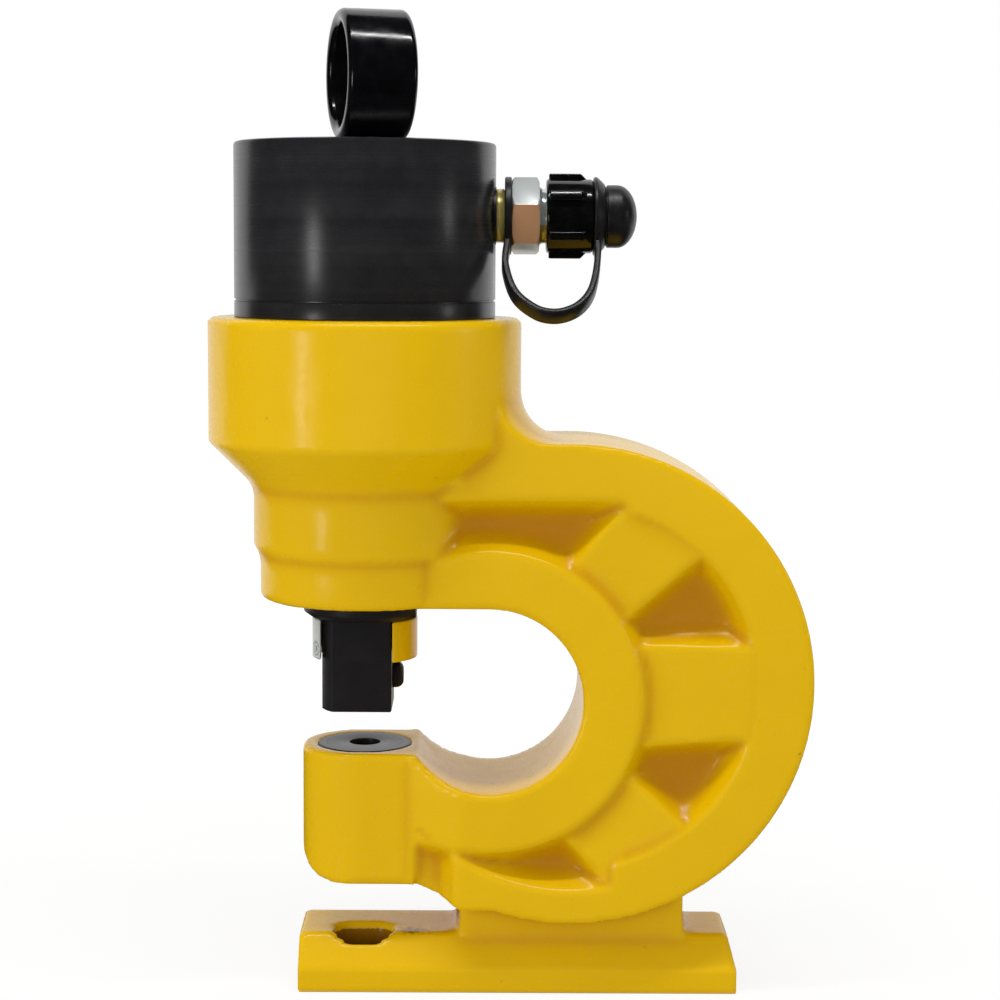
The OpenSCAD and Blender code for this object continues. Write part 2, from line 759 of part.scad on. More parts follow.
// The ribbed dust cap, screwed on the coupler's nose
module dust_cap() {
  color(rubber_black) difference() {
    union() {
      at_port(cap_x) cylinder(r1 = cap_r - 0.8, r2 = cap_r, h = 1);
      at_port(cap_x + 1) cylinder(r = cap_r, h = cap_len - 1);
      for (i = [0:cap_ribs - 1]) at_port(cap_x) rotate([0, 0, 180 + i * 360 / cap_ribs]) cap_bar();
    }
    at_port(cap_x - eps) cylinder(r = cap_bore_r, h = cap_wall_x - cap_x + eps);
    at_port(cap_wall_x - eps) cylinder(r = cap_hole_r, h = cap_end_x - cap_wall_x + 2 * eps);
  }
}

// The rubber plug at the strap's free end: stub, flange, groove and dome
module strap_plug() {
  dome_len = plug_end_x - dome_x;
  straight = dome_len - plug_dome_r * dome_bulge;
  color(rubber_black) {
    at_port(cap_wall_x + 0.2) cylinder(r = plug_stub_r, h = plug_x - cap_wall_x);
    at_port(plug_x) cylinder(r = plug_flange_r, h = plug_flange);
    at_port(plug_x + plug_flange) cylinder(r1 = plug_flange_r - 0.4, r2 = plug_dome_r - 1, h = plug_taper + 0.4);
    at_port(dome_x) rotate_extrude() polygon(concat([[0, 0], [plug_dome_r, 0], [plug_dome_r, straight]],
      [for (a = [10:10:80]) [plug_dome_r * cos(a), straight + dome_bulge * plug_dome_r * sin(a)]],
      [[0, dome_len]]));
  }
}

// The strap's ring on the nipple, and the band that hangs in a loop below the coupling
module cap_strap() {
  line = smooth_route([for (p = strap_route)
    [strap_start_x + p[0] * (strap_end_x - strap_start_x),
      strap_end_down + p[1] * (strap_drop - strap_end_down)]], strap_steps);
  n = len(line);
  side = [0, -cos(strap_lean), sin(strap_lean)];
  points = [for (i = [0:n - 1])
    let (
      p = line[i],
      d = line[min(i + 1, n - 1)] - line[max(i - 1, 0)],
      t = i == n - 1 || i == 0 ? [0, 1] : d / norm(d),
      across = [t[1], 0, 0] + t[0] * [0, sin(strap_lean), cos(strap_lean)],
      c = [p[0], -p[1] * sin(strap_lean), port_z - p[1] * cos(strap_lean)]
    )
    each [
      c + across * strap_t / 2 + side * strap_w / 2,
      c - across * strap_t / 2 + side * strap_w / 2,
      c - across * strap_t / 2 - side * strap_w / 2,
      c + across * strap_t / 2 - side * strap_w / 2
    ]];
  color(rubber_black) {
    at_port(strap_ring_x) tube(strap_ring_r, nipple_thread_r + 0.3, strap_ring_t);
    polyhedron(points, tube_faces(n, 4));
  }
}

// The piston with its grooves, bolt hole and stop ring
module piston() {
  color(bright_steel) difference() {
    union() {
      translate([0, 0, piston_low]) cylinder(r = piston_r, h = piston_t);
      translate([0, 0, piston_top - eps]) tube(stop_out_r, stop_in_r, piston_stop + eps);
    }
    translate([0, 0, piston_low + seal_up]) tube(piston_r + 1, piston_r - seal_depth, seal_w);
    translate([0, 0, piston_low + guide_up]) tube(piston_r + 1, piston_r - guide_depth, guide_w);
    translate([0, 0, piston_low - eps]) cylinder(r = bolt_r + 0.2, h = piston_t + 2 * eps);
    translate([0, 0, piston_top - bolt_head_h]) cylinder(r = bolt_head_r + 0.3, h = bolt_head_h + eps);
    translate([-2, -stop_out_r - 1, piston_top + 2]) cube([4, 2 * stop_out_r + 2, piston_stop]);
  }
}

// The piston's lip seal
module piston_seal() {
  color(seal_green) translate([0, 0, piston_low + seal_up + 0.1])
    tube(piston_r, piston_r - seal_depth + 0.1, seal_w - 0.2);
}

// The piston's bronze-filled guide ring
module piston_guide_ring() {
  color(bronze) translate([0, 0, piston_low + guide_up + 0.1])
    tube(piston_r, piston_r - guide_depth + 0.1, guide_w - 0.2);
}

// The socket bolt that joins the piston to the ram
module piston_bolt() {
  head_low = piston_top - bolt_head_h;
  color(black_oxide) difference() {
    union() {
      translate([0, 0, head_low]) cylinder(r = bolt_head_r, h = bolt_head_h - 0.5);
      translate([0, 0, head_low - bolt_len]) cylinder(r = bolt_r, h = bolt_len + eps);
    }
    translate([0, 0, head_low + 2]) cylinder(r = bolt_r, h = bolt_head_h, $fn = 6);
  }
}

// The ram, guided in the nose, with its threaded lower end
module ram() {
  bolt_end = piston_top - bolt_head_h - bolt_len;
  color(bright_steel) difference() {
    union() {
      translate([0, 0, nut_top]) cylinder(r = ram_r, h = piston_low - nut_top);
      translate([0, 0, ram_low]) cylinder(r = ram_end_r, h = ram_end_len + eps);
    }
    translate([0, 0, bolt_end - 1]) cylinder(r = bolt_r + thread_gap, h = piston_low - bolt_end + 2);
  }
}

// The return spring round the ram
module return_spring() {
  color(bright_steel) translate([0, 0, spring_floor + 0.1])
    coil(coil_r, wire_d, piston_low - spring_floor - 0.2, coil_turns, 24, 8);
}

// The bronze bush that guides the ram
module guide_bush() {
  color(bronze) translate([0, 0, bush_low])
    tube(bush_r - thread_gap, bush_bore_r, spring_floor - bush_low);
}

// The wiper that keeps chips out of the bush
module rod_wiper() {
  color(seal_green) translate([0, 0, holder_top + 0.2]) tube(bush_r - 0.1, ram_r + 0.3, wiper_t);
}

// The nut that holds the punch's head against the ram
module punch_nut() {
  color(black_oxide) difference() {
    translate([0, 0, nut_low]) cylinder(r = nut_bore_r, h = nut_h);
    translate([0, 0, nut_low - eps]) cylinder(r = shank_r + 0.1, h = nut_h);
    translate([0, 0, nut_low + nut_floor]) cylinder(r = punch_head_r + 0.1, h = nut_h);
    translate([0, 0, ram_low]) cylinder(r = ram_end_r + thread_gap, h = nut_h);
    for (s = [-1, 1]) translate([s * 14, 0, nut_low - eps]) cylinder(r = 2, h = 3 + eps);
  }
}

// The punch: head, shank, cutting end and centring point
module punch() {
  head_low = nut_low + nut_floor;
  color(bright_steel) {
    translate([0, 0, head_low]) cylinder(r = punch_head_r, h = ram_low - head_low);
    translate([0, 0, punch_tip + punch_end]) cylinder(r = shank_r, h = head_low - punch_tip - punch_end + eps);
    translate([0, 0, punch_tip]) cylinder(r = punch_r, h = punch_end + eps);
    translate([0, 0, punch_tip - 1.5]) cylinder(r1 = 0.2, r2 = 1.7, h = 1.5 + 0.01);
  }
}

// The conical head of the stripper, grown on all sides by g
module strip_head(g) {
  intersection() {
    union() {
      translate([0, 0, cone_top - g]) cylinder(r = strip_head_r + g, h = nose_low - cone_top);
      translate([0, 0, cone_top - strip_cone - g])
        cylinder(r1 = strip_rim_r + g, r2 = strip_head_r + g, h = strip_cone);
    }
    translate([-strip_head_r - 5, -strip_head_r - 5, cone_top - strip_cone - 5])
      cube([strip_head_r + 5 + head_side + g, strip_head_r + 5 + head_back + g, 40]);
  }
}

// The holder: a thread in the nose, and a collar open at the front that carries the stripper
module stripper_holder() {
  color(paint) difference() {
    union() {
      translate([0, 0, nose_low]) cylinder(r = holder_r - thread_gap, h = holder_h);
      translate([0, 0, collar_low]) cylinder(r = collar_r, h = collar_h + eps);
    }
    translate([0, 0, collar_low - eps]) cylinder(r = collar_bore_r, h = collar_h + eps);
    translate([0, 0, nut_recess]) cylinder(r = holder_bore_r, h = holder_h + collar_h);
    translate([-collar_slot_left, -collar_r - 1, collar_low - eps])
      cube([collar_slot_left + collar_slot_right, collar_r + 1, cone_top - collar_low]);
    intersection() {
      strip_head(seat_gap);
      translate([0, 0, collar_low - 1]) cylinder(r = 2 * collar_r, h = collar_h + 1);
    }
    set_screw_place(collar_bore_r - 3) cylinder(r = set_r + thread_gap, h = 12);
  }
}

// Lays a shape drawn along Z radially through the collar, starting at radius r
module set_screw_place(r) {
  rotate([0, 0, set_angle]) translate([r, 0, collar_low + set_up]) rotate([0, 90, 0]) children();
}

// The stripper: a flatted tube under a conical head
module stripper() {
  color(black_oxide) difference() {
    union() {
      intersection() {
        translate([0, 0, strip_low]) cylinder(r = strip_r, h = cone_top - strip_low);
        translate([-strip_left, -strip_front, strip_low])
          cube([strip_left + strip_side, strip_front + strip_r, cone_top]);
      }
      intersection() {
        strip_head(0);
        translate([0, 0, strip_low]) cylinder(r = 2 * strip_head_r, h = head_top - strip_low);
      }
    }
    translate([0, 0, strip_low - eps]) cylinder(r = strip_bore_r, h = 60);
    translate([0, 0, strip_low + strip_floor]) cylinder(r = strip_room_r, h = 60);
    translate([0, 0, nut_recess]) cylinder(r = holder_bore_r, h = 20);
    translate([0, side_back, strip_low + side_up]) rotate([0, 90, 0]) cylinder(r = 3 + thread_gap, h = 20);
  }
}

// The small set screw in the collar's left arm
module stripper_set_screw() {
  color(zinc) difference() {
    set_screw_place(strip_r + 0.1) cylinder(r = set_r, h = collar_r - strip_r);
    set_screw_place(collar_r - 2) cylinder(r = set_r / 2, h = 3, $fn = 6);
  }
}

// The round-headed screw in the stripper's flat on the throat side
module stripper_side_screw() {
  x0 = strip_side + 0.1;
  color(black_oxide) translate([x0, side_back, strip_low + side_up]) rotate([0, 90, 0]) difference() {
    union() {
      rotate_extrude() polygon(concat([[0, 0], [side_r, 0]],
        [for (a = [0:15:75]) [side_r + side_round * (cos(a) - 1), side_head + side_round * (sin(a) - 1)]],
        [[0, side_head]]));
      translate([0, 0, -2]) cylinder(r = 3, h = 2.5);
    }
    translate([0, 0, side_head - 2]) cylinder(r = 2.4, h = 3, $fn = 6);
  }
}

// The die, flush with the top of the boss
module die() {
  color(black_oxide) difference() {
    translate([0, 0, die_low]) cylinder(r = die_r, h = die_h);
    translate([0, 0, die_low - eps]) cylinder(r = die_hole_r, h = die_h + 2 * eps);
    translate([0, 0, die_low - eps]) cylinder(r = die_hole_r + 1, h = die_h - die_land + eps);
  }
}

// The grub screw that locks the die from the back of the boss
module die_set_screw() {
  y0 = die_r + 0.1;
  color(black_oxide) translate([0, y0, die_low + die_h / 2]) rotate([-90, 0, 0]) difference() {
    cylinder(r = die_screw_r, h = boss_r - y0 - 0.8);
    translate([0, 0, 3]) cylinder(r = die_screw_r / 2, h = 10, $fn = 6);
  }
}

c_frame();
barrel();
lifting_ring();
port_seal();
port_nipple();
coupler_body();
coupler_poppet();
poppet_spring();
dust_cap();
strap_plug();
cap_strap();
piston();
piston_seal();
piston_guide_ring();
piston_bolt();
ram();
return_spring();
guide_bush();
rod_wiper();
punch_nut();
punch();
stripper_holder();
stripper();
stripper_set_screw();
stripper_side_screw();
die();
die_set_screw();
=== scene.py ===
"""Hydraulic C-frame hole punch: its finishes, its visible pieces and a plain studio.

Lengths are in millimetres in the row frame, and turn into metres when a piece is finished.
"""

import logging
import math
from collections.abc import Callable
from dataclasses import dataclass
from enum import Enum

import bmesh
import bpy
import numpy as np
from bpy.types import Material, Mesh, Node, NodeSocket, NodeTree, Object
from mathutils import Matrix, Vector
from mathutils.bvhtree import BVHTree


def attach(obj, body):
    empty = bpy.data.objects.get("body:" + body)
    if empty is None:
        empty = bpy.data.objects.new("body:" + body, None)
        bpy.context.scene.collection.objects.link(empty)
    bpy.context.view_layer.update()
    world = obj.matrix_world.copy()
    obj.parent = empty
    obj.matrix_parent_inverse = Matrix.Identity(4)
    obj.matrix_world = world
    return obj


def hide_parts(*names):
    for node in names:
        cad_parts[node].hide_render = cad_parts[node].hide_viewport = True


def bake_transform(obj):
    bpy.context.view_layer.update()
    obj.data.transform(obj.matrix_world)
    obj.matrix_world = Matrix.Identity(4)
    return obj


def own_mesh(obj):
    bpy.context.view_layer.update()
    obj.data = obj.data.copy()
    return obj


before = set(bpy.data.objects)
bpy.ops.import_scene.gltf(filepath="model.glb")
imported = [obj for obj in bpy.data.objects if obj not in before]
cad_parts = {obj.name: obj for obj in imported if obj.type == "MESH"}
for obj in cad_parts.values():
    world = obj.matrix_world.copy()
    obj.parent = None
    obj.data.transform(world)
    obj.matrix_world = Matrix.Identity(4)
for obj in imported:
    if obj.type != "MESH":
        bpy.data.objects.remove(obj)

LOG = logging.getLogger("hole_punch")
MM = 0.001
TURN = 2.0 * math.pi
PORT_Z = 342.7
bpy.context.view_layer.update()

Pair = tuple[float, float]
Triple = tuple[float, float, float]
Four = tuple[float, float, float, float]
Five = tuple[float, float, float, float, float]
Outline = list[Pair]


def linear(code: str) -> Four:
    """Turns an sRGB hex colour into linear light.

    Args:
        code: Six hex digits after a hash.

    Returns:
        Red, green, blue and alpha.
    """
    parts = [int(code[i : i + 2], 16) / 255 for i in (1, 3, 5)]
    return tuple(c / 12.92 if c <= 0.04045 else ((c + 0.055) / 1.055) ** 2.4 for c in parts) + (1.0,)


def per_mm(size: float) -> float:
    """Gives the texture scale whose features are size millimetres apart."""
    return 1.0 / (size * MM)


def feed(tree: NodeTree, node: Node, inputs: dict) -> None:
    """Sets or links some inputs of a node.

    Args:
        tree: The node's tree.
        node: The node.
        inputs: Values or sockets to link, by the input's name or number.
    """
    for key, value in inputs.items():
        if isinstance(value, NodeSocket):
            tree.links.new(value, node.inputs[key])
        else:
            node.inputs[key].default_value = value


def add(tree: NodeTree, kind: str, inputs: dict | None = None, **settings: object) -> Node:
    """Adds one node to a tree.

    Args:
        tree: The tree that gets the node.
        kind: The node's type.
        inputs: Its inputs: see feed.
        settings: The node's own options.

    Returns:
        The node.
    """
    made = tree.nodes.new(kind)
    for key, value in settings.items():
        setattr(made, key, value)
    feed(tree, made, inputs or {})
    return made


def new_material(name: str, inputs: dict) -> Material:
    """Makes a material.

    Args:
        name: Its name.
        inputs: The inputs of its Principled shader: see feed.

    Returns:
        The material.
    """
    made = bpy.data.materials.new(name)
    made.use_nodes = True
    feed(made.node_tree, made.node_tree.nodes["Principled BSDF"], inputs)
    return made


class Axis(Enum):
    """The axis that a turned piece stands on."""

    PUNCH = "punch"
    COUPLING = "coupling"


def on_coupling(along: float) -> Matrix:
    """Gives the matrix that lays a shape drawn along Z on the coupling's axis.

    Args:
        along: How far from the punch axis its zero lies.

    Returns:
        The matrix, in millimetres.
    """
    return Matrix.Translation((along, 0, PORT_Z)) @ Matrix.Rotation(TURN / 4, 4, "Y")


# Finishes


@dataclass(frozen=True)
class Finish:
    """A surface as its maker would name it.

    Attributes:
        name: The material's name.
        colour: Its main colour.
        shade: The darker colour that it varies towards.
        roughness: How matt it is.
        metallic: 1 for bare metal, less where a film dulls it.
        specular: How strongly its skin mirrors.
    """

    name: str
    colour: str
    shade: str
    roughness: float
    metallic: float = 0.0
    specular: float = 0.5

    def material(self) -> Material:
        """Makes the material the first time, and returns it each time."""
        found = bpy.data.materials.get(self.name)
        if found:
            return found
        made = new_material(self.name, {"Roughness": self.roughness, "Metallic": self.metallic,
                                        "Specular IOR Level": self.specular})
        tree = made.node_tree
        place = add(tree, "ShaderNodeTexCoord").outputs["Object"]
        feed(tree, tree.nodes["Principled BSDF"], self.dress(tree, place))
        return made

    def dress(self, tree: NodeTree, place: NodeSocket) -> dict:
        """Makes the surface's colour, roughness and relief.

        Args:
            tree: The material's tree.
            place: Object coordinates.

        Returns:
            The inputs of the Principled shader.
        """
        raise NotImplementedError


@dataclass(frozen=True)
class CastEnamel(Finish):
    """Gloss enamel brushed and sprayed over a sand casting.

    The wide waves of the casting bend the reflections, and fine orange peel softens them.
    Shade is painted into its corners and pockets as a deeper, slightly orange colour.

    Attributes:
        deep: The colour of the shade painted into corners and pockets.
        dirt: The colour of the fine specks in it.
        rust_and_slot_shade: The colour where it is rubbed off, and of the shade painted down inside the bolt
            slot.
    """

    # The painted shade's colour for corners and pockets.
    deep: str = "#a85c00"
    dirt: str = "#7a5200"
    rust_and_slot_shade: str = "#74440a"

    def dress(self, tree: NodeTree, place: NodeSocket) -> dict:
        """Paints the casting: see Finish.dress."""
        broad, wave, peel, grit = (
            add(tree, "ShaderNodeTexNoise", {"Vector": place, "Scale": per_mm(size), "Detail": detail})
            for size, detail in ((60, 2.0), (17, 1.0), (2.2, 2.0), (3.5, 3.0)))
        # Painted shade: a deeper, slightly orange colour in the filled inside corners and the pockets.
        painted_shade = add(tree, "ShaderNodeAttribute", attribute_name="painted_shade")
        tone = add(tree, "ShaderNodeMix", {0: broad.outputs["Fac"], 6: linear(self.shade),
                                           7: linear(self.colour)},
                   data_type="RGBA")
        film_with_painted_shade = add(tree, "ShaderNodeMix", {0: painted_shade.outputs["Fac"], 6: tone.outputs[2],
                                           7: linear(self.deep)},
                   data_type="RGBA")
        speck = add(tree, "ShaderNodeMapRange", {0: grit.outputs["Fac"], 1: 0.74, 2: 0.80, 3: 0.0, 4: 0.5})
        spotted = add(tree, "ShaderNodeMix", {0: speck.outputs[0], 6: film_with_painted_shade.outputs[2], 7: linear(self.dirt)},
                      data_type="RGBA")
        # Where bolts and work rub the film away, old rust and oil show through in scuffs; down inside the
        # bolt slot the same colour is bare metal and painted shade together.
        rubbed = add(tree, "ShaderNodeTexNoise", {"Vector": place, "Scale": per_mm(2.6), "Detail": 5.0,
                                                  "Roughness": 0.7})
        wear_and_slot_shade = add(tree, "ShaderNodeAttribute", attribute_name="wear_and_slot_shade")
        both = add(tree, "ShaderNodeMath", {0: rubbed.outputs["Fac"], 1: wear_and_slot_shade.outputs["Fac"]},
                   operation="ADD")
        scuff_and_slot_shade = add(tree, "ShaderNodeMapRange", {0: both.outputs[0], 1: 0.98, 2: 1.12, 3: 0.0, 4: 0.85})
        aged_and_shaded = add(tree, "ShaderNodeMix", {0: scuff_and_slot_shade.outputs[0], 6: spotted.outputs[2], 7: linear(self.rust_and_slot_shade)},
                   data_type="RGBA")
        gloss = add(tree, "ShaderNodeMapRange", {0: peel.outputs["Fac"], 1: 0.3, 2: 0.7,
                                                 3: self.roughness - 0.04, 4: self.roughness + 0.05})
        swell = add(tree, "ShaderNodeBump", {"Height": wave.outputs["Fac"], "Strength": 0.55,
                                             "Distance": 0.0008})
        skin = add(tree, "ShaderNodeBump", {"Height": peel.outputs["Fac"], "Strength": 0.35,
                                            "Distance": 0.00006, "Normal": swell.outputs[0]})
        return {"Base Color": aged_and_shaded.outputs[2], "Roughness": gloss.outputs[0], "Normal": skin.outputs[0],
                "Coat Weight": 0.03, "Coat Roughness": 0.08}


@dataclass(frozen=True)
class TurnedSteel(Finish):
    """Steel off the lathe, bare, plated or blackened.

    Fine tool marks run round the axis on its walls and faces, under a faint cloudy stain.

    Attributes:
        axis: The axis that the marks run round.
        pitch: Their spacing in millimetres.
        cloud: How far the stain goes towards the shade.
        tint: The colour that a plating dries to, or nothing.
        stained: The lowest and highest height of that colour, from the coupling's axis.
        marks: How strongly the marks show.
    """

    axis: Axis = Axis.PUNCH
    pitch: float = 0.45
    cloud: float = 0.5
    tint: str = ""
    stained: Pair = (0.0, 0.0)
    marks: float = 1.0

    def dress(self, tree: NodeTree, place: NodeSocket) -> dict:
        """Turns and stains the steel: see Finish.dress."""
        along_x = self.axis is Axis.COUPLING
        at = add(tree, "ShaderNodeVectorMath", {0: place, 1: (0, 0, -PORT_Z * MM if along_x else 0.0)},
                 operation="ADD")
        split = add(tree, "ShaderNodeSeparateXYZ", {0: at.outputs[0]})
        flat = add(tree, "ShaderNodeVectorMath", {0: at.outputs[0], 1: (0, 1, 1) if along_x else (1, 1, 0)},
                   operation="MULTIPLY")
        radius = add(tree, "ShaderNodeVectorMath", {0: flat.outputs[0]}, operation="LENGTH")
        lathe = add(tree, "ShaderNodeCombineXYZ", {0: radius.outputs["Value"],
                                                   1: split.outputs[0 if along_x else 2]})
        marks = add(tree, "ShaderNodeTexNoise", {"Vector": lathe.outputs[0], "Scale": per_mm(self.pitch),
                                                 "Detail": 1.0})
        bands = add(tree, "ShaderNodeTexNoise", {"Vector": lathe.outputs[0], "Scale": per_mm(9),
                                                 "Detail": 2.0})
        stain = add(tree, "ShaderNodeTexNoise", {"Vector": place, "Scale": per_mm(14), "Detail": 4.0,
                                                 "Roughness": 0.6})
        both = add(tree, "ShaderNodeMath", {0: bands.outputs["Fac"], 1: stain.outputs["Fac"]},
                   operation="MULTIPLY")
        amount = add(tree, "ShaderNodeMapRange", {0: both.outputs[0], 1: 0.15, 2: 0.38, 3: 0.0,
                                                  4: self.cloud})
        tone = add(tree, "ShaderNodeMix", {0: amount.outputs[0], 6: linear(self.colour),
                                           7: linear(self.shade)},
                   data_type="RGBA")
        last = tone.outputs[2]
        if self.tint:
            # The passivation runs down and dries yellow and brown between two heights.
            edge = 0.2 * MM
            low, high = (z * MM for z in self.stained)
            under, over = (
                add(tree, "ShaderNodeMapRange", {0: split.outputs[2], 1: z - edge, 2: z + edge, 3: before,
                                                 4: after})
                for z, before, after in ((high, 0.9, 0.0), (low, 0.0, 1.0)))
            pool = add(tree, "ShaderNodeMath", {0: under.outputs[0], 1: over.outputs[0]},
                       operation="MULTIPLY")
            last = add(tree, "ShaderNodeMix", {0: pool.outputs[0], 6: last, 7: linear(self.tint)},
                       data_type="RGBA").outputs[2]
        gloss = add(tree, "ShaderNodeMapRange", {0: marks.outputs["Fac"], 1: 0.3, 2: 0.7,
                                                 3: self.roughness - 0.06 * self.marks,
                                                 4: self.roughness + 0.06 * self.marks})
        relief = add(tree, "ShaderNodeBump", {"Height": marks.outputs["Fac"], "Strength": 0.25 * self.marks,
                                              "Distance": 0.00003})
        return {"Base Color": last, "Roughness": gloss.outputs[0], "Normal": relief.outputs[0]}


@dataclass(frozen=True)
class Moulded(Finish):
    """Moulded rubber, plastic or lacquer: an even skin with a fine grain and a little dust.

    Attributes:
        grain: The spacing of the grain in millimetres.
        relief: Its height in metres.
    """

    grain: float = 0.6
    relief: float = 0.00003

    def dress(self, tree: NodeTree, place: NodeSocket) -> dict:
        """Moulds the skin: see Finish.dress."""
        fine = add(tree, "ShaderNodeTexNoise", {"Vector": place, "Scale": per_mm(self.grain), "Detail": 2.0})
        dust = add(tree, "ShaderNodeTexNoise", {"Vector": place, "Scale": per_mm(7), "Detail": 4.0,
                                                "Roughness": 0.65})
        veil = add(tree, "ShaderNodeMapRange", {0: dust.outputs["Fac"], 1: 0.45, 2: 0.75, 3: 0.0, 4: 0.6})
        tone = add(tree, "ShaderNodeMix", {0: veil.outputs[0], 6: linear(self.colour), 7: linear(self.shade)},
                   data_type="RGBA")
        gloss = add(tree, "ShaderNodeMapRange", {0: dust.outputs["Fac"], 1: 0.3, 2: 0.7,
                                                 3: self.roughness - 0.04, 4: self.roughness + 0.08})
        skin = add(tree, "ShaderNodeBump", {"Height": fine.outputs["Fac"], "Strength": 0.4,
                                            "Distance": self.relief})
        return {"Base Color": tone.outputs[2], "Roughness": gloss.outputs[0], "Normal": skin.outputs[0]}


# Gloss enamel brushed over cast steel: a bright yellow skin whose reflections waver.
ENAMEL = CastEnamel("gloss_enamel_on_cast_steel", "#dab000", "#d2a600", 0.24, specular=0.24)
# Turned steel, blackened and oiled: dark, with soft bright streaks.
BLACKED = TurnedSteel("blackened_turned_steel", "#1c1c1e", "#2a2a2c", 0.26, cloud=0.6, marks=0.25)
# Thick black lacquer over steel: deep black with crisp reflections.
BLACK_LACQUER = Moulded("black_lacquered_steel", "#08080a", "#101013", 0.14, grain=3.0, relief=0.00004)
# Blackened tool steel: near black and matt, with broad dull highlights.
TOOL_STEEL = TurnedSteel("blackened_tool_steel", "#1c1a1c", "#252326", 0.42, specular=0.3, pitch=0.6)
# Hardened and ground die steel: a dark grey face with a faint sheen.
DIE_STEEL = TurnedSteel("hardened_die_steel", "#1e1b1d", "#2c292b", 0.34, metallic=0.2, specular=0.32)
# Zinc plate: pale and satin, with a copper-brown stain on the hexagon's front flat.
ZINC = TurnedSteel("zinc_plated_steel", "#c2c6c4", "#b0b5b3", 0.24, metallic=0.35, specular=0.6,
                   axis=Axis.COUPLING, pitch=0.5, cloud=0.6, tint="#c48c5c", stained=(-12.1, 4.7), marks=0.2)
# Bright zinc plate: nearly white and glossy, dried yellow along the nose's underside.
BRIGHT_ZINC = TurnedSteel("bright_zinc_plate", "#dce0e0", "#b4bcbc", 0.18, metallic=0.7, specular=0.6,
                          axis=Axis.COUPLING, pitch=0.5, cloud=0.8, tint="#a89a2e", stained=(-20.0, -4.0),
                          marks=0.4)
# Dull zinc plate, which also stands for bare ground steel: light grey without clear reflections.
PLATED = TurnedSteel("dull_zinc_plate", "#c6cac8", "#a9aeac", 0.4, metallic=0.3)
# Zinc plate with yellow passivation: a soft straw gloss.
YELLOW_ZINC = TurnedSteel("yellow_passivated_zinc", "#c4b46c", "#8c7c40", 0.26, metallic=0.5, specular=0.6,
                          axis=Axis.COUPLING, pitch=0.9, cloud=0.7)
# Bare ground steel: bright grey, with clear reflections.
GROUND = TurnedSteel("ground_steel", "#a2a4a8", "#86888c", 0.22, metallic=1.0)
# Bored bearing bronze: a warm brown metal.
BRONZE = TurnedSteel("bored_bearing_bronze", "#a87a3c", "#84602c", 0.32, metallic=1.0)
# Moulded sealing rubber: an even matt green.
SEAL = Moulded("moulded_seal_rubber", "#2c5a48", "#3c6454", 0.5)
# Soft black rubber: charcoal, with broad soft highlights and a little dust.
RUBBER = Moulded("satin_black_rubber", "#131314", "#1e1e20", 0.36, grain=1.2, relief=0.00008)
# Hard moulded plastic: deep black with sharp narrow highlights.
CAP_PLASTIC = Moulded("gloss_moulded_plastic", "#070708", "#141416", 0.12, grain=5.0)


# Shapes


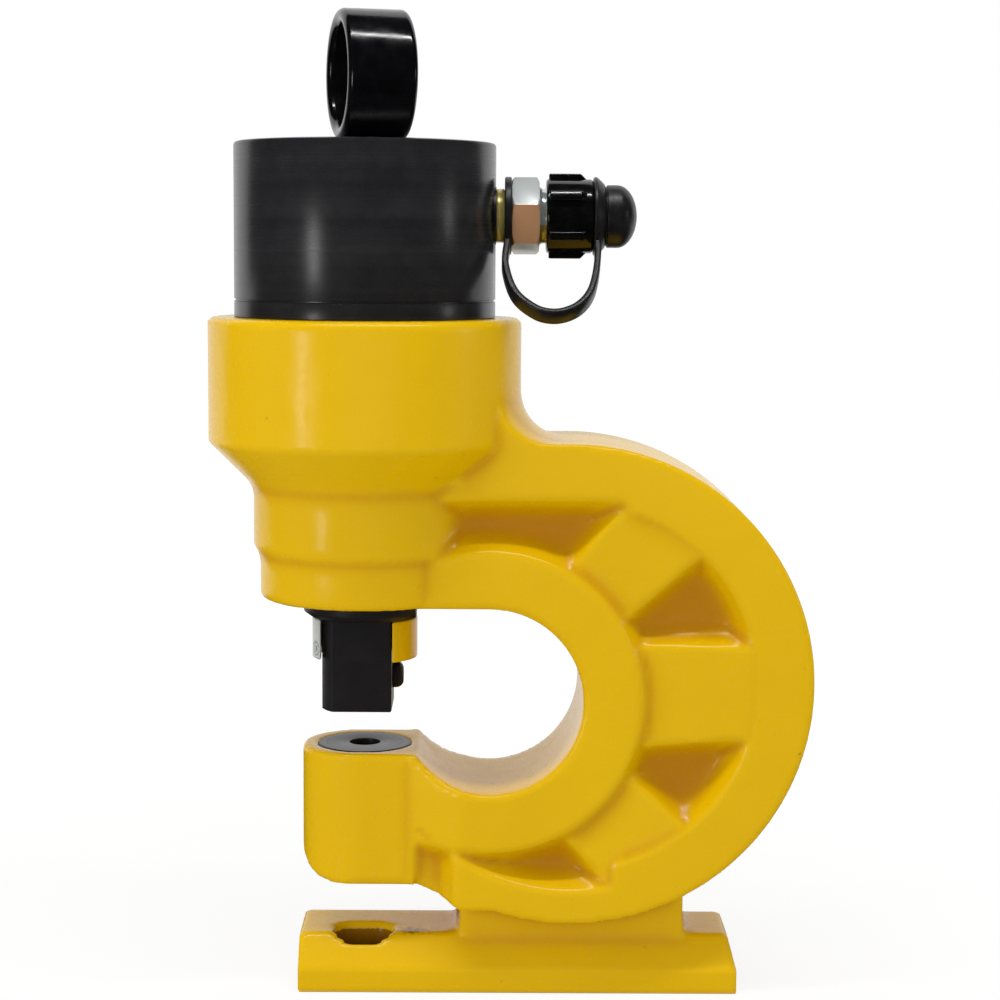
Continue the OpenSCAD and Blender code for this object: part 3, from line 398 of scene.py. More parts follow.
class Shape:
    """A mesh in the making, in millimetres."""

    def __init__(self) -> None:
        """Starts with no geometry."""
        self.bm = bmesh.new()

    def turn(self, outline: Outline, steps: int = 96) -> "Shape":
        """Spins a line of (radius, height) points round Z.

        Args:
            outline: The points; a line that doesn't start and end on the axis is closed to a ring.
            steps: How many facets a full turn has.

        Returns:
            This shape.
        """
        verts = [self.bm.verts.new((r, 0, z)) for r, z in outline]
        pairs = list(zip(verts, verts[1:]))
        if outline[0][0] > 0 and outline[-1][0] > 0:
            pairs.append((verts[-1], verts[0]))
        edges = [self.bm.edges.new(p) for p in pairs]
        bmesh.ops.spin(self.bm, geom=verts + edges, cent=(0, 0, 0), axis=(0, 0, 1), angle=TURN, steps=steps,
                       use_merge=True)
        return self.clean()

    def block(self, size: Triple, centre: Triple) -> "Shape":
        """Adds a box.

        Args:
            size: Its three lengths.
            centre: Its middle.

        Returns:
            This shape.
        """
        place = Matrix.Translation(centre) @ Matrix.Diagonal((*size, 1.0))
        bmesh.ops.create_cube(self.bm, size=1.0, matrix=place)
        return self

    def prism(self, sides: int, radius: float, height: float, turned: float = 0.0) -> "Shape":
        """Adds an upright prism on Z = 0.

        Args:
            sides: Its number of sides.
            radius: The radius of its corners.
            height: Its height.
            turned: Its turn about Z, in degrees.

        Returns:
            This shape.
        """
        place = Matrix.Translation((0, 0, height / 2)) @ Matrix.Rotation(math.radians(turned), 4, "Z")
        bmesh.ops.create_cone(self.bm, cap_ends=True, segments=sides, radius1=radius, radius2=radius,
                              depth=height, matrix=place)
        return self

    def clean(self) -> "Shape":
        """Merges doubles, makes the faces point outwards and returns this shape."""
        bmesh.ops.remove_doubles(self.bm, verts=self.bm.verts, dist=1e-4)
        bmesh.ops.recalc_face_normals(self.bm, faces=self.bm.faces)
        return self

    def soften(self, width: float, segments: int = 3, angle: float = 30.0) -> "Shape":
        """Rounds every edge sharper than an angle.

        Args:
            width: The size of the rounding.
            segments: Its number of steps.
            angle: The least angle between two faces, in degrees.

        Returns:
            This shape.
        """
        sharp = [e for e in self.bm.edges if e.calc_face_angle(0.0) > math.radians(angle)]
        bmesh.ops.bevel(self.bm, geom=sharp, offset=width, offset_type="OFFSET", segments=segments,
                        profile=0.5, affect="EDGES", material=-1, clamp_overlap=True)
        return self

    def move(self, matrix: Matrix) -> "Shape":
        """Moves all of it by a matrix and returns this shape."""
        bmesh.ops.transform(self.bm, matrix=matrix, verts=self.bm.verts)
        return self

    def join(self, other: "Shape", matrix: Matrix | None = None) -> "Shape":
        """Takes in another shape, which ends there.

        Args:
            other: The shape to take in.
            matrix: Where it goes.

        Returns:
            This shape.
        """
        mesh = bpy.data.meshes.new("part")
        other.bm.to_mesh(mesh)
        other.bm.free()
        mesh.transform(matrix or Matrix.Identity(4))
        self.bm.from_mesh(mesh)
        bpy.data.meshes.remove(mesh)
        return self

    def cut(self, other: "Shape") -> "Shape":
        """Takes another shape's space away from this one.

        Args:
            other: The shape to cut with, which ends there.

        Returns:
            This shape.
        """
        body, tool = self.loose("body"), other.loose("tool")
        knife = body.modifiers.new("cut", "BOOLEAN")
        knife.operation, knife.solver, knife.object = "DIFFERENCE", "EXACT", tool
        self.bm = bmesh.new()
        self.bm.from_mesh(baked(body))
        for done in (body, tool):
            bpy.data.objects.remove(done)
        return self.clean()

    def loose(self, name: str) -> Object:
        """Puts the shape in an object of its own, still in millimetres, and ends it."""
        mesh = bpy.data.meshes.new(name)
        self.bm.to_mesh(mesh)
        self.bm.free()
        made = bpy.data.objects.new(name, mesh)
        bpy.context.scene.collection.objects.link(made)
        return made

    def piece(self, name: str, body: str, finish: Finish, slot: str, *nodes: str,
              crease: float = 40.0) -> Object:
        """Finishes the shape as a piece of the object.

        Args:
            name: The piece's name.
            body: The CAD body that it moves with, or nothing if the caller says how it moves.
            finish: What it is covered with.
            slot: A material slot's name; it is not used.
            nodes: The CAD nodes that it stands for.
            crease: The angle past which an edge looks sharp, in degrees.

        Returns:
            The piece.
        """
        made = self.loose(name)
        made.data.transform(Matrix.Scale(MM, 4))
        made.data.shade_smooth()
        made.data.set_sharp_from_angle(angle=math.radians(crease))
        made.data.materials.clear()
        made.data.materials.append(finish.material())
        if body:
            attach(made, body)
        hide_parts(*nodes)
        LOG.info("%s: %d faces", name, len(made.data.polygons))
        return made


def baked(piece: Object) -> Mesh:
    """Returns a piece's mesh with its modifiers applied."""
    graph = bpy.context.evaluated_depsgraph_get()
    return bpy.data.meshes.new_from_object(piece.evaluated_get(graph))


def second_finish(piece: Object, finish: Finish, chosen: Callable[[Vector], bool]) -> None:
    """Gives some faces of a piece a second finish.

    Args:
        piece: The piece.
        finish: The second finish.
        chosen: Says of a face's centre, in metres, whether the face gets it.
    """
    piece.data.materials.append(finish.material())
    for face in piece.data.polygons:
        if chosen(face.center):
            face.material_index = 1


def cover(node: str, finish: Finish) -> None:
    """Gives a finish to a CAD node that is right as it is."""
    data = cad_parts[node].data
    data.materials.clear()
    data.materials.append(finish.material())


def copy_of(node: str) -> Shape:
    """Returns a merged copy of a CAD node's mesh, in millimetres."""
    made = Shape()
    made.bm.from_mesh(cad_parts[node].data)
    made.move(Matrix.Scale(1 / MM, 4))
    bmesh.ops.remove_doubles(made.bm, verts=made.bm.verts, dist=1e-3)
    return made


def worn_copy(node: str, voxel: float, rounds: int) -> tuple[Shape, BVHTree]:
    """Copies a CAD node with an even mesh and softened edges.

    Args:
        node: The CAD node.
        voxel: The size of the new faces.
        rounds: How often the edges are smoothed.

    Returns:
        The shape, and the CAD surface to measure it against.
    """
    source = copy_of(node)
    surface = BVHTree.FromBMesh(source.bm)
    rough = source.loose("rough")
    grid = rough.modifiers.new("grid", "REMESH")
    grid.mode, grid.voxel_size, grid.adaptivity = "VOXEL", voxel, 0.0
    made = Shape()
    made.bm.from_mesh(baked(rough))
    bpy.data.objects.remove(rough)
    for _ in range(rounds):
        bmesh.ops.smooth_vert(made.bm, verts=made.bm.verts, factor=0.5, use_axis_x=True, use_axis_y=True,
                              use_axis_z=True)
    return made, surface


def settle(shape: Shape, surface: BVHTree, near: float, far: float) -> None:
    """Lays a smoothed shape's flat and round faces back on the CAD surface, and leaves its rounded edges.

    Args:
        shape: The shape.
        surface: The CAD surface.
        near: Points nearer than this go all the way.
        far: Points farther than this stay.
    """
    for vert in shape.bm.verts:
        spot, _, _, gap = surface.find_nearest(vert.co)
        share = min(1.0, max(0.0, (far - gap) / (far - near)))
        vert.co = vert.co.lerp(spot, share)


# Sub-assemblies


@dataclass
class Casting:
    """The yellow casting: bowl, nose, C, die boss, foot and base.

    Attributes:
        voxel: Size of its faces.
        rounds: Smoothing of its outside edges.
        fills: Smoothing that fills its inside corners.
        full: Depth of filling at which the painted corner shade is darkest.
        snap: How near its true radius a wall's point has to lie to be put on it.
        cheek: Half the thickness of the C.
        ring: Centre and radius of the outside of the C, in X and Z.
        throat: Centre and radius of the throat.
        drums: Radius, lowest and highest height of each round wall on the punch axis.
        slot: The bolt slot's half length and half width, how far it lies in front, and the base's top.
    """

    voxel: float = 1.75
    rounds: int = 2
    fills: int = 26
    full: float = 2.5
    snap: float = 0.12
    cheek: float = 37.5
    ring: Triple = (91.4, 139.8, 105.5)
    throat: Triple = (55.8, 132.5, 41.0)
    drums: tuple[Triple, ...] = ((69.0, 268.0, 295.0), (49.3, 198.0, 222.0), (46.4, 176.5, 193.0))
    slot: Four = (13.5, 8.7, 11.2, 24.2)

    def build(self) -> None:
        """Makes the casting from the CAD solid, with its cast corners and worn edges."""
        shape, surface = worn_copy("c_frame", self.voxel, self.rounds)
        settle(shape, surface, 0.25, 0.55)
        mesh = bpy.data.meshes.new("casting")
        shape.bm.to_mesh(mesh)
        places, painted_shade = self.fill_corners(mesh)
        places = self.true_walls(places)
        for vert, place in zip(shape.bm.verts, places):
            vert.co = place
        # Painted shade in the filled corners, the pockets and down inside the bolt slot; real wear beside the
        # slot and on the throat's floor.
        for name, values in (("painted_shade", np.maximum(painted_shade, self.pocket_shade(places))),
                             ("wear_and_slot_shade", self.wear_and_slot_shade(places))):
            layer = shape.bm.verts.layers.float.new(name)
            for vert, value in zip(shape.bm.verts, values):
                vert[layer] = float(value)
        bpy.data.meshes.remove(mesh)
        shape.piece("casting", "frame", ENAMEL, "paint", "c_frame", crease=180.0)

    def fill_corners(self, mesh: Mesh) -> tuple[np.ndarray, np.ndarray]:
        """Rounds the inside corners that sand and paint leave full.

        Args:
            mesh: The casting's mesh.

        Returns:
            The new places, and for each how much it has been filled, from 0 to 1, which sets the painted
            corner shade.
        """
        count = len(mesh.vertices)
        places, normals = np.empty(count * 3), np.empty(count * 3)
        mesh.vertices.foreach_get("co", places)
        mesh.vertices.foreach_get("normal", normals)
        places, normals = places.reshape(-1, 3), normals.reshape(-1, 3)
        pairs = np.empty(len(mesh.edges) * 2, np.int64)
        mesh.edges.foreach_get("vertices", pairs)
        ends = np.concatenate([pairs[0::2], pairs[1::2]])
        others = np.concatenate([pairs[1::2], pairs[0::2]])
        degree = np.bincount(ends, minlength=count)[:, None]
        start = places.copy()
        across, height = np.hypot(places[:, 0], places[:, 1]), places[:, 2]
        # The bores of the bowl, the nose and the boss stay sharp.
        free = (across > 57.0) | ((across > 32.0) & (height < 228.0)) | (height < 46.0)
        for _ in range(self.fills):
            mean = np.stack([np.bincount(ends, places[others, k], count) for k in range(3)], 1) / degree
            step = mean - places
            valley = (np.einsum("ij,ij->i", step, normals) > 0) & free
            places = places + 0.5 * step * valley[:, None]
        filled = np.einsum("ij,ij->i", places - start, normals)
        return places, np.clip(filled / self.full, 0.0, 1.0)

    def pocket_shade(self, places: np.ndarray) -> np.ndarray:
        """Gives how strongly shade is painted into the pockets.

        Args:
            places: The casting's points.

        Returns:
            For each point a share from 0 to 1.
        """
        x, y, z = places.T
        # A pocket lies between the throat's rib, the outer rib and the bowl, and deeper than the cheek.
        hub, rim, bowl = self.throat[2] + 23.5, self.ring[2] - 12.0, 24.0
        below, fade, most = self.cheek - 4.5, 7.0, 0.7
        inside = ((np.hypot(x - self.throat[0], z - self.throat[1]) > hub)
                  & (np.hypot(x - self.ring[0], z - self.ring[1]) < rim) & (x > bowl))
        return most * inside * np.clip((below - abs(y)) / fade, 0.0, 1.0)

    def wear_and_slot_shade(self, places: np.ndarray) -> np.ndarray:
        """Gives how far the enamel is rubbed off beside the bolt slot and in the throat's floor, and down
        inside the slot, where the colour is bare metal and painted shade together.

        Args:
            places: The casting's points.

        Returns:
            For each point a share from 0 to 1.
        """
        x, y, z = places.T
        reach, half, front, top = self.slot
        away = np.hypot(np.maximum(abs(x) - reach + half, 0.0), y + front) - half
        # Down inside the slot, below its top edge: bare metal and painted shade together.
        bore = np.clip((0.7 - away) / 0.6, 0.0, 1.0) * np.clip((top - 1.2 - z) / 3.0, 0.0, 1.0)
        # Two oval blots in X and Y: by their middle and half lengths.
        beside, scraped = (np.clip(1.0 - np.hypot((x - mid_x) / half_x, (y - mid_y) / half_y), 0.0, 1.0)
                           for mid_x, mid_y, half_x, half_y in ((22.0, -14.0, 24.0, 14.0),
                                                                (76.0, -18.0, 20.0, 26.0)))
        on_base = abs(z - top) < 1.0
        on_floor = abs(np.hypot(x - self.throat[0], z - self.throat[1]) - self.throat[2]) < 1.0
        scraped = scraped * (on_floor & (z < self.throat[1] - 10.0))
        return np.maximum(bore, 0.62 * np.sqrt(np.maximum(beside * on_base, 0.6 * scraped)))

    def true_walls(self, places: np.ndarray) -> np.ndarray:
        """Puts the points of the turned and swept walls on their true radius.

        Args:
            places: The points.

        Returns:
            The new points.
        """
        out = places.copy()
        across = np.hypot(out[:, 0], out[:, 1])
        for radius, low, high in self.drums:
            on = (abs(across - radius) < self.snap) & (out[:, 2] > low) & (out[:, 2] < high)
            out[on, :2] *= (radius / across[on])[:, None]
        for x, z, radius in (self.ring, self.throat):
            span = out[:, [0, 2]] - (x, z)
            away = np.hypot(span[:, 0], span[:, 1])
            on = (abs(away - radius) < self.snap) & (abs(out[:, 1]) < self.cheek - 1.5) & (out[:, 0] > 60.0)
            out[on, 0] = x + span[on, 0] * radius / away[on]
            out[on, 2] = z + span[on, 1] * radius / away[on]
        return out


@dataclass
class Cylinder:
    """The black cylinder with its lifting ring and the port's seal.

    Attributes:
        radius: Outer radius.
        low: Height of its shoulder on the bowl.
        top: Height of its top.
        bore: Radius and top of the oil room.
        thread: Radius and lowest point of the thread in the bowl.
        stud: Radius and bottom of the hole for the ring's stud.
        line: Height and size of the turned line above the shoulder.
        port: Radius, start, length and facets of the port's flat, of its thread and of its oil hole.
        eye: Outer radius, hole radius, width, rounding and centre height of the lifting ring.
        eye_turn: Turn of the ring about the punch axis, in degrees.
        eye_side: How far the ring's middle lies beside its stud.
    """

    radius: float = 57.4
    low: float = 298.0
    top: float = 374.0
    bore: Pair = (37.5, 348.0)
    thread: Pair = (54.95, 271.0)
    stud: Pair = (10.05, 354.0)
    line: Pair = (305.0, 1.2)
    port: tuple[tuple[float, float, float, int], ...] = (
        (12.6, 56.4, 4.0, 96), (8.15, 44.6, 14.0, 48), (3.0, 35.5, 14.0, 24))
    eye: Five = (28.4, 22.0, 30.4, 3.0, 403.2)
    eye_turn: float = 14.5
    eye_side: float = 2.6

    def build(self) -> None:
        """Makes the cylinder, the lifting ring and the seal washer."""
        radius, low, top = self.radius, self.low, self.top
        (bore, roof), (thread, foot), (hole, seat) = self.bore, self.thread, self.stud
        line, size = self.line
        groove = radius - size / 2
        wall = Shape().turn([
            (bore, foot), (thread, foot), (thread, low), (radius - 0.4, low), (radius, low + 0.4),
            (radius, line), (groove, line + 0.2), (groove, line + size - 0.2), (radius, line + size),
            (radius, top - 1.5), (radius - 0.5, top - 0.4), (radius - 1.7, top), (hole + 0.55, top),
            (hole, top - 0.6), (hole, seat), (0, seat), (0, roof), (bore, roof)], steps=180)
        for wide, start, length, steps in self.port:
            drill = Shape().turn([(0, 0), (wide, 0), (wide, length), (0, length)], steps)
            wall.cut(drill.move(on_coupling(start)))
        wall.soften(0.25, 2, 50.0)
        wall.piece("cylinder", "frame", BLACKED, "black_oxide_steel", "barrel")
        self.ring()
        cover("port_seal", RUBBER)

    def ring(self) -> None:
        """Makes the lifting ring and its stud."""
        outer, hole, width, rounding, height = self.eye
        half = width / 2
        band = Shape().turn([(hole, -half), (outer, -half), (outer, half), (hole, half)], 128)
        band.soften(rounding, 6)
        turned = Matrix.Rotation(math.radians(self.eye_turn), 4, "Z") @ Matrix.Rotation(TURN / 4, 4, "Y")
        band.move(Matrix.Translation((self.eye_side, 0, height)) @ turned)
        stud = Shape().turn([(0, 354.5), (9.2, 354.5), (10.0, 355.4), (10.0, 376.5), (0, 376.5)], 64)
        band.join(stud)
        band.piece("lifting_ring_piece", "frame", BLACK_LACQUER, "black_oxide_steel", "lifting_ring")


@dataclass
class OilCoupling:
    """The capped coupler half on the cylinder's side, with its strap.

    Attributes:
        thread: Where the nipple's thread starts and the nipple ends, from the punch axis.
        seat: Where its collar starts.
        ring: Where the strap's ring starts.
        hexagon: Where the hexagon starts, its length, width across flats and turn.
        cap: Where the dust cap starts, and its length.
        plug: Where the plug's flange starts, and its length.
        drop: How far the strap hangs.
        lean: The strap's lean to the front, in degrees.
        route: The strap's middle line, as shares of its reach and of its drop.
    """

    thread: Pair = (45.1, 71.9)
    seat: float = 57.6
    ring: float = 61.3
    hexagon: Four = (64.4, 12.0, 30.0, 14.3)
    cap: Pair = (79.4, 20.4)
    plug: Pair = (100.1, 19.2)
    drop: float = 57.4
    lean: float = 42.0
    route: tuple[Pair, ...] = (
        (0, -0.16), (-0.01, -0.02), (-0.037, 0.24), (-0.015, 0.427), (0.028, 0.6), (0.088, 0.735),
        (0.182, 0.85), (0.328, 0.962), (0.463, 1), (0.592, 0.989), (0.73, 0.924), (0.84, 0.814),
        (0.915, 0.67), (0.96, 0.49), (0.985, 0.32), (1, 0.155), (1, 0))

    def build(self) -> None:
        """Makes every piece of the coupling."""
        self.nipple()
        self.body()
        self.dust_cap()
        self.end_plug()
        self.strap()
        cover("coupler_poppet", GROUND)

    def nipple(self) -> None:
        """Makes the plated nipple, with the threads that show at its root."""
        first, last = self.thread
        grooves = [(7.55, first + 0.75 * i) if i % 2 else (8.1, first + 0.75 * i + 0.001) for i in range(15)]
        collar, end = self.seat, self.ring - 0.1
        line = [(3.0, first), *grooves, (8.1, collar), (11.3, collar), (11.8, collar + 0.5),
                (11.8, end - 0.6), (11.3, end), (7.5, end), (7.5, last), (3.0, last)]
        Shape().turn([(r, x - first) for r, x in line], 64).move(on_coupling(first)).piece(
            "nipple", "frame", YELLOW_ZINC, "yellow_zinc", "port_nipple")

    def body(self) -> None:
        """Makes the coupler: chamfered hexagon, waisted neck and threaded nose."""
        start, length, flats, turned = self.hexagon
        hexa = Shape().prism(6, flats / 2 / math.cos(math.pi / 6), length, 30.0 + turned)
        rim, rise = flats / 2 + 0.3, 5.2
        for end in (Matrix.Translation((0, 0, -0.01)),
                    Matrix.Translation((0, 0, length + 0.01)) @ Matrix.Rotation(TURN / 2, 4, "X")):
            chamfer = Shape().turn([(rim, 0), (flats, 0), (flats, rise), (rim + rise / 0.58, rise)], 96)
            hexa.cut(chamfer.move(end))
        hexa.cut(Shape().turn([(0, -1), (7.55, -1), (7.55, 7.8), (3.0, 7.8), (3.0, 20), (0, 20)], 48))
        hexa.soften(0.25, 2, 35.0)
        neck, nose = length, length + 3.0
        tube = [(13.2, neck - 0.02), (12.5, neck + 0.5), (12.0, neck + 1.2), (12.0, nose - 0.6)]
        for i in range(9):
            tube += [(12.6, nose + 0.3 + 1.5 * i), (11.9, nose + 1.05 + 1.5 * i)]
        tube += [(12.2, nose + 13.9), (3.2, nose + 13.9), (3.2, nose + 11.7), (6.0, nose + 11.7),
                 (6.0, neck + 0.6), (3.0, neck + 0.6), (3.0, neck - 0.02)]
        hexa.join(Shape().turn(tube, 72))
        hexa.move(on_coupling(start))
        made = hexa.piece("coupler", "frame", ZINC, "zinc_plate", "coupler_body", crease=35.0)
        second_finish(made, BRIGHT_ZINC, lambda at: at.x > (start + length + 0.1) * MM)

    def dust_cap(self) -> None:
        """Makes the ribbed cap, with its lip and a step at its far end."""
        start, length = self.cap
        shell = Shape().turn([
            (12.9, 0), (15.3, 0), (16.0, 0.5), (16.2, 1.1), (16.2, length - 1.0), (15.8, length - 0.2),
            (15.3, length), (6.2, length), (6.2, 14.2), (12.9, 14.2)], 96)
        shell.soften(0.3, 2, 40.0)
        out, middle, ribs = 16.85, 9.8, 6
        for i in range(ribs):
            rib = Shape().block((3.3, 4.4, 17.2), (out, 0, middle))
            # The far end slopes, and so passes the strap as the cap is unscrewed.
            for vert in rib.bm.verts:
                if vert.co.z > middle and vert.co.x > out:
                    vert.co.z = 15.1
            rib.soften(0.7, 3)
            shell.join(rib, Matrix.Rotation(TURN * i / ribs, 4, "Z"))
        shell.move(on_coupling(start))
        shell.piece("ribbed_dust_cap", "cap", CAP_PLASTIC, "black_plastic", "dust_cap")

    def end_plug(self) -> None:
        """Makes the soft plug: stub, tapered flange, groove and blunt dome."""
        start, length = self.plug
        wide, deep = 13.7, 8.77
        dome = [(wide * math.cos(math.radians(a)), length - deep + deep * math.sin(math.radians(a)))
                for a in range(0, 90, 9)]
        line = [(0, -6.3), (5.4, -6.3), (6.0, -5.7), (6.0, 0.0), (16.4, 0.0), (17.0, 0.3), (17.2, 0.8),
                (17.1, 1.5), (16.7, 2.0), (15.2, 3.7), (13.9, 4.9), (13.0, 5.3), (12.7, 5.5), (12.9, 5.7),
                (13.5, 5.85), (13.7, 6.3), *dome, (0, length)]
        Shape().turn(line, 96).soften(0.3, 2, 50.0).move(on_coupling(start)).piece(
            "soft_plug", "cap_swivel", RUBBER, "black_rubber", "strap_plug", crease=60.0)

    def strap(self) -> None:
        """Makes the strap's ring and its hanging band."""
        ring = Shape().turn([(7.8, 0), (17.0, 0), (17.0, 3.0), (7.8, 3.0)], 96).soften(0.6, 3)
        ring.move(on_coupling(self.ring))
        ring.join(self.band())
        made = ring.piece("strap", "", RUBBER, "black_rubber", "cap_strap", crease=50.0)
        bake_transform(made)

    def band(self) -> Shape:
        """Returns the strap's band, a rounded strip swept along its route."""
        first, last, near = self.ring + 1.5, self.plug[0] + 1.5, 17.5
        spots = [np.array([first + u * (last - first), near + v * (self.drop - near)]) for u, v in self.route]
        line = []
        for i in range(len(spots) - 1):
            a, b, c, d = spots[max(i - 1, 0)], spots[i], spots[i + 1], spots[min(i + 2, len(spots) - 1)]
            for t in (0.0, 0.25, 0.5, 0.75):
                line.append(0.5 * (2 * b + (c - a) * t + (2 * a - 5 * b + 4 * c - d) * t * t
                                   + (3 * b - a - 3 * c + d) * t ** 3))
        line.append(spots[-1])
        lean = math.radians(self.lean)
        down = Vector((0, -math.sin(lean), -math.cos(lean)))
        side = Vector((0, -math.cos(lean), math.sin(lean)))
        made = Shape()
        loops = []
        # The section's corners: outwards over its thickness, sideways over its width.
        section = [(1.4, 3.5), (0.9, 4.0), (-0.9, 4.0), (-1.4, 3.5),
                   (-1.4, -3.5), (-0.9, -4.0), (0.9, -4.0), (1.4, -3.5)]
        for i, spot in enumerate(line):
            way = line[min(i + 1, len(line) - 1)] - line[max(i - 1, 0)]
            if i in (0, len(line) - 1):
                way = np.array([0.0, 1.0])
            way = way / np.linalg.norm(way)
            out = Vector((way[1], 0, 0)) - down * float(way[0])
            centre = Vector((spot[0], 0, PORT_Z)) + down * float(spot[1])
            verts = [made.bm.verts.new(centre + out * a + side * b) for a, b in section]
            loops.append([made.bm.edges.new(pair) for pair in zip(verts, verts[1:] + verts[:1])])
        for one, two in zip(loops, loops[1:]):
            bmesh.ops.bridge_loops(made.bm, edges=one + two)
        for rim in (loops[0], loops[-1]):
            bmesh.ops.contextual_create(made.bm, geom=rim)
        return made.clean()


@dataclass
class Ram:
    """The piston, the ram and what is on them, with the return spring.

    Attributes:
        finishes: The finish of each CAD node that is right as it is.
        spring: Coil radius, wire radius, lowest and highest point, and turns of the return spring.
        valve_spring: The same along the coupling's axis for the valve's spring.
    """

    finishes: tuple[tuple[str, Finish], ...] = (
        ("piston", GROUND), ("piston_seal", SEAL), ("piston_guide_ring", BRONZE), ("piston_bolt", BLACKED),
        ("ram", GROUND), ("guide_bush", BRONZE), ("rod_wiper", SEAL), ("punch_nut", BLACKED),
        ("punch", GROUND))
    spring: tuple[float, float, float, float, int] = (29.5, 3.5, 232.6, 312.6, 6)
    valve_spring: tuple[float, float, float, float, int] = (4.4, 0.45, 77.1, 85.9, 4)

    def build(self) -> None:
        """Dresses the turned pieces and winds both springs."""
        for node, finish in self.finishes:
            cover(node, finish)
        made = self.wind(*self.spring, Matrix.Identity(4)).piece(
            "coil_spring", "frame", GROUND, "bright_steel", "return_spring", crease=180.0)
        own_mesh(made)
        small = self.wind(*self.valve_spring, on_coupling(0.0)).piece(
            "valve_coil_spring", "frame", GROUND, "bright_steel", "poppet_spring", crease=180.0)
        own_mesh(small)

    def wind(self, radius: float, wire: float, low: float, high: float, turns: int, place: Matrix) -> Shape:
        """Winds a coil whose end turns lie flat.

        Args:
            radius: From the axis to the middle of the wire.
            wire: The wire's radius.
            low: Lowest point of the coil.
            high: Highest point of the coil.
            turns: Number of turns, with the two flat ends.
            place: Where the coil goes.

        Returns:
            The coil.
        """
        made, steps = Shape(), 32
        upright = Matrix.Translation((radius, 0, low + wire)) @ Matrix.Rotation(TURN / 4, 4, "X")
        bmesh.ops.create_circle(made.bm, cap_ends=False, radius=wire, segments=12, matrix=upright)
        rim = list(made.bm.edges)
        first = list(rim)
        rise = (high - low - 2 * wire) / (turns - 1)
        for share, part in ((0.5, 1.0), (1.0, turns - 2.0), (0.5, 1.0)):
            ends = list(dict.fromkeys(v for e in rim for v in e.verts))
            out = bmesh.ops.spin(made.bm, geom=ends + rim, cent=(0, 0, 0), axis=(0, 0, 1),
                                 dvec=(0, 0, rise * share / steps), angle=TURN * part,
                                 steps=int(steps * part))
            rim = [e for e in out["geom_last"] if isinstance(e, bmesh.types.BMEdge)]
        for ring in (first, rim):
            bmesh.ops.contextual_create(made.bm, geom=ring)
        return made.clean().move(place)


@dataclass
class PunchTooling:
    """The stripper in its holder, the die and their screws.

    Attributes:
        voxel: Size of the faces of the two milled pieces.
        die: Radius, lowest height, top and hole radius of the die.
        screw: Radius of the set screw, where it starts and ends from the axis, its angle and its height.
        arm: The holder's bare left arm lies below each of these places in X, Y and Z.
    """

    voxel: float = 0.55
    die: Four = (20.8, 87.2, 107.2, 7.0)
    screw: Five = (2.75, 21.6, 23.5, 205.0, 151.3)
    arm: Triple = (-16.5, 0.5, 167.5)

    def build(self) -> None:
        """Makes the milled pieces, the die and the screws."""
        made = {}
        for node, name, finish, slot in (("stripper_holder", "holder", ENAMEL, "paint"),
                                         ("stripper", "stripper_sleeve", TOOL_STEEL, "black_oxide_steel")):
            shape, surface = worn_copy(node, self.voxel, 2)
            settle(shape, surface, 0.08, 0.2)
            made[name] = shape.piece(name, "frame", finish, slot, node, crease=180.0)
        x, y, z = (length * MM for length in self.arm)
        second_finish(made["holder"], PLATED, lambda at: at.x < x and at.y < y and at.z < z)
        radius, low, top, hole = self.die
        Shape().turn([(hole, top), (radius - 0.5, top), (radius, top - 0.5), (radius, low), (hole + 1, low),
                      (hole + 1, top - 8.0), (hole, top - 8.0)], 96).soften(0.15, 2, 60.0).piece(
            "die_ring", "frame", DIE_STEEL, "black_oxide_steel", "die")
        self.set_screw()
        cover("stripper_side_screw", TOOL_STEEL)
        cover("die_set_screw", BLACKED)

    def set_screw(self) -> None:
        """Makes the small set screw, whose end is dished round its hexagon socket."""
        radius, first, last, angle, height = self.screw
        body = Shape().turn([(0, first), (radius - 0.5, first), (radius, first + 0.5), (radius, last - 0.3),
                             (radius - 0.3, last), (1.9, last), (1.5, last - 0.4), (0, last - 0.4)], 48)
        body.cut(Shape().prism(6, 1.35, 2.0).move(Matrix.Translation((0, 0, last - 1.3))))
        body.move(Matrix.Translation((0, 0, height)) @ Matrix.Rotation(math.radians(angle), 4, "Z")
                  @ Matrix.Rotation(TURN / 4, 4, "Y"))
        body.piece("small_set_screw", "frame", PLATED, "zinc_plate", "stripper_set_screw")


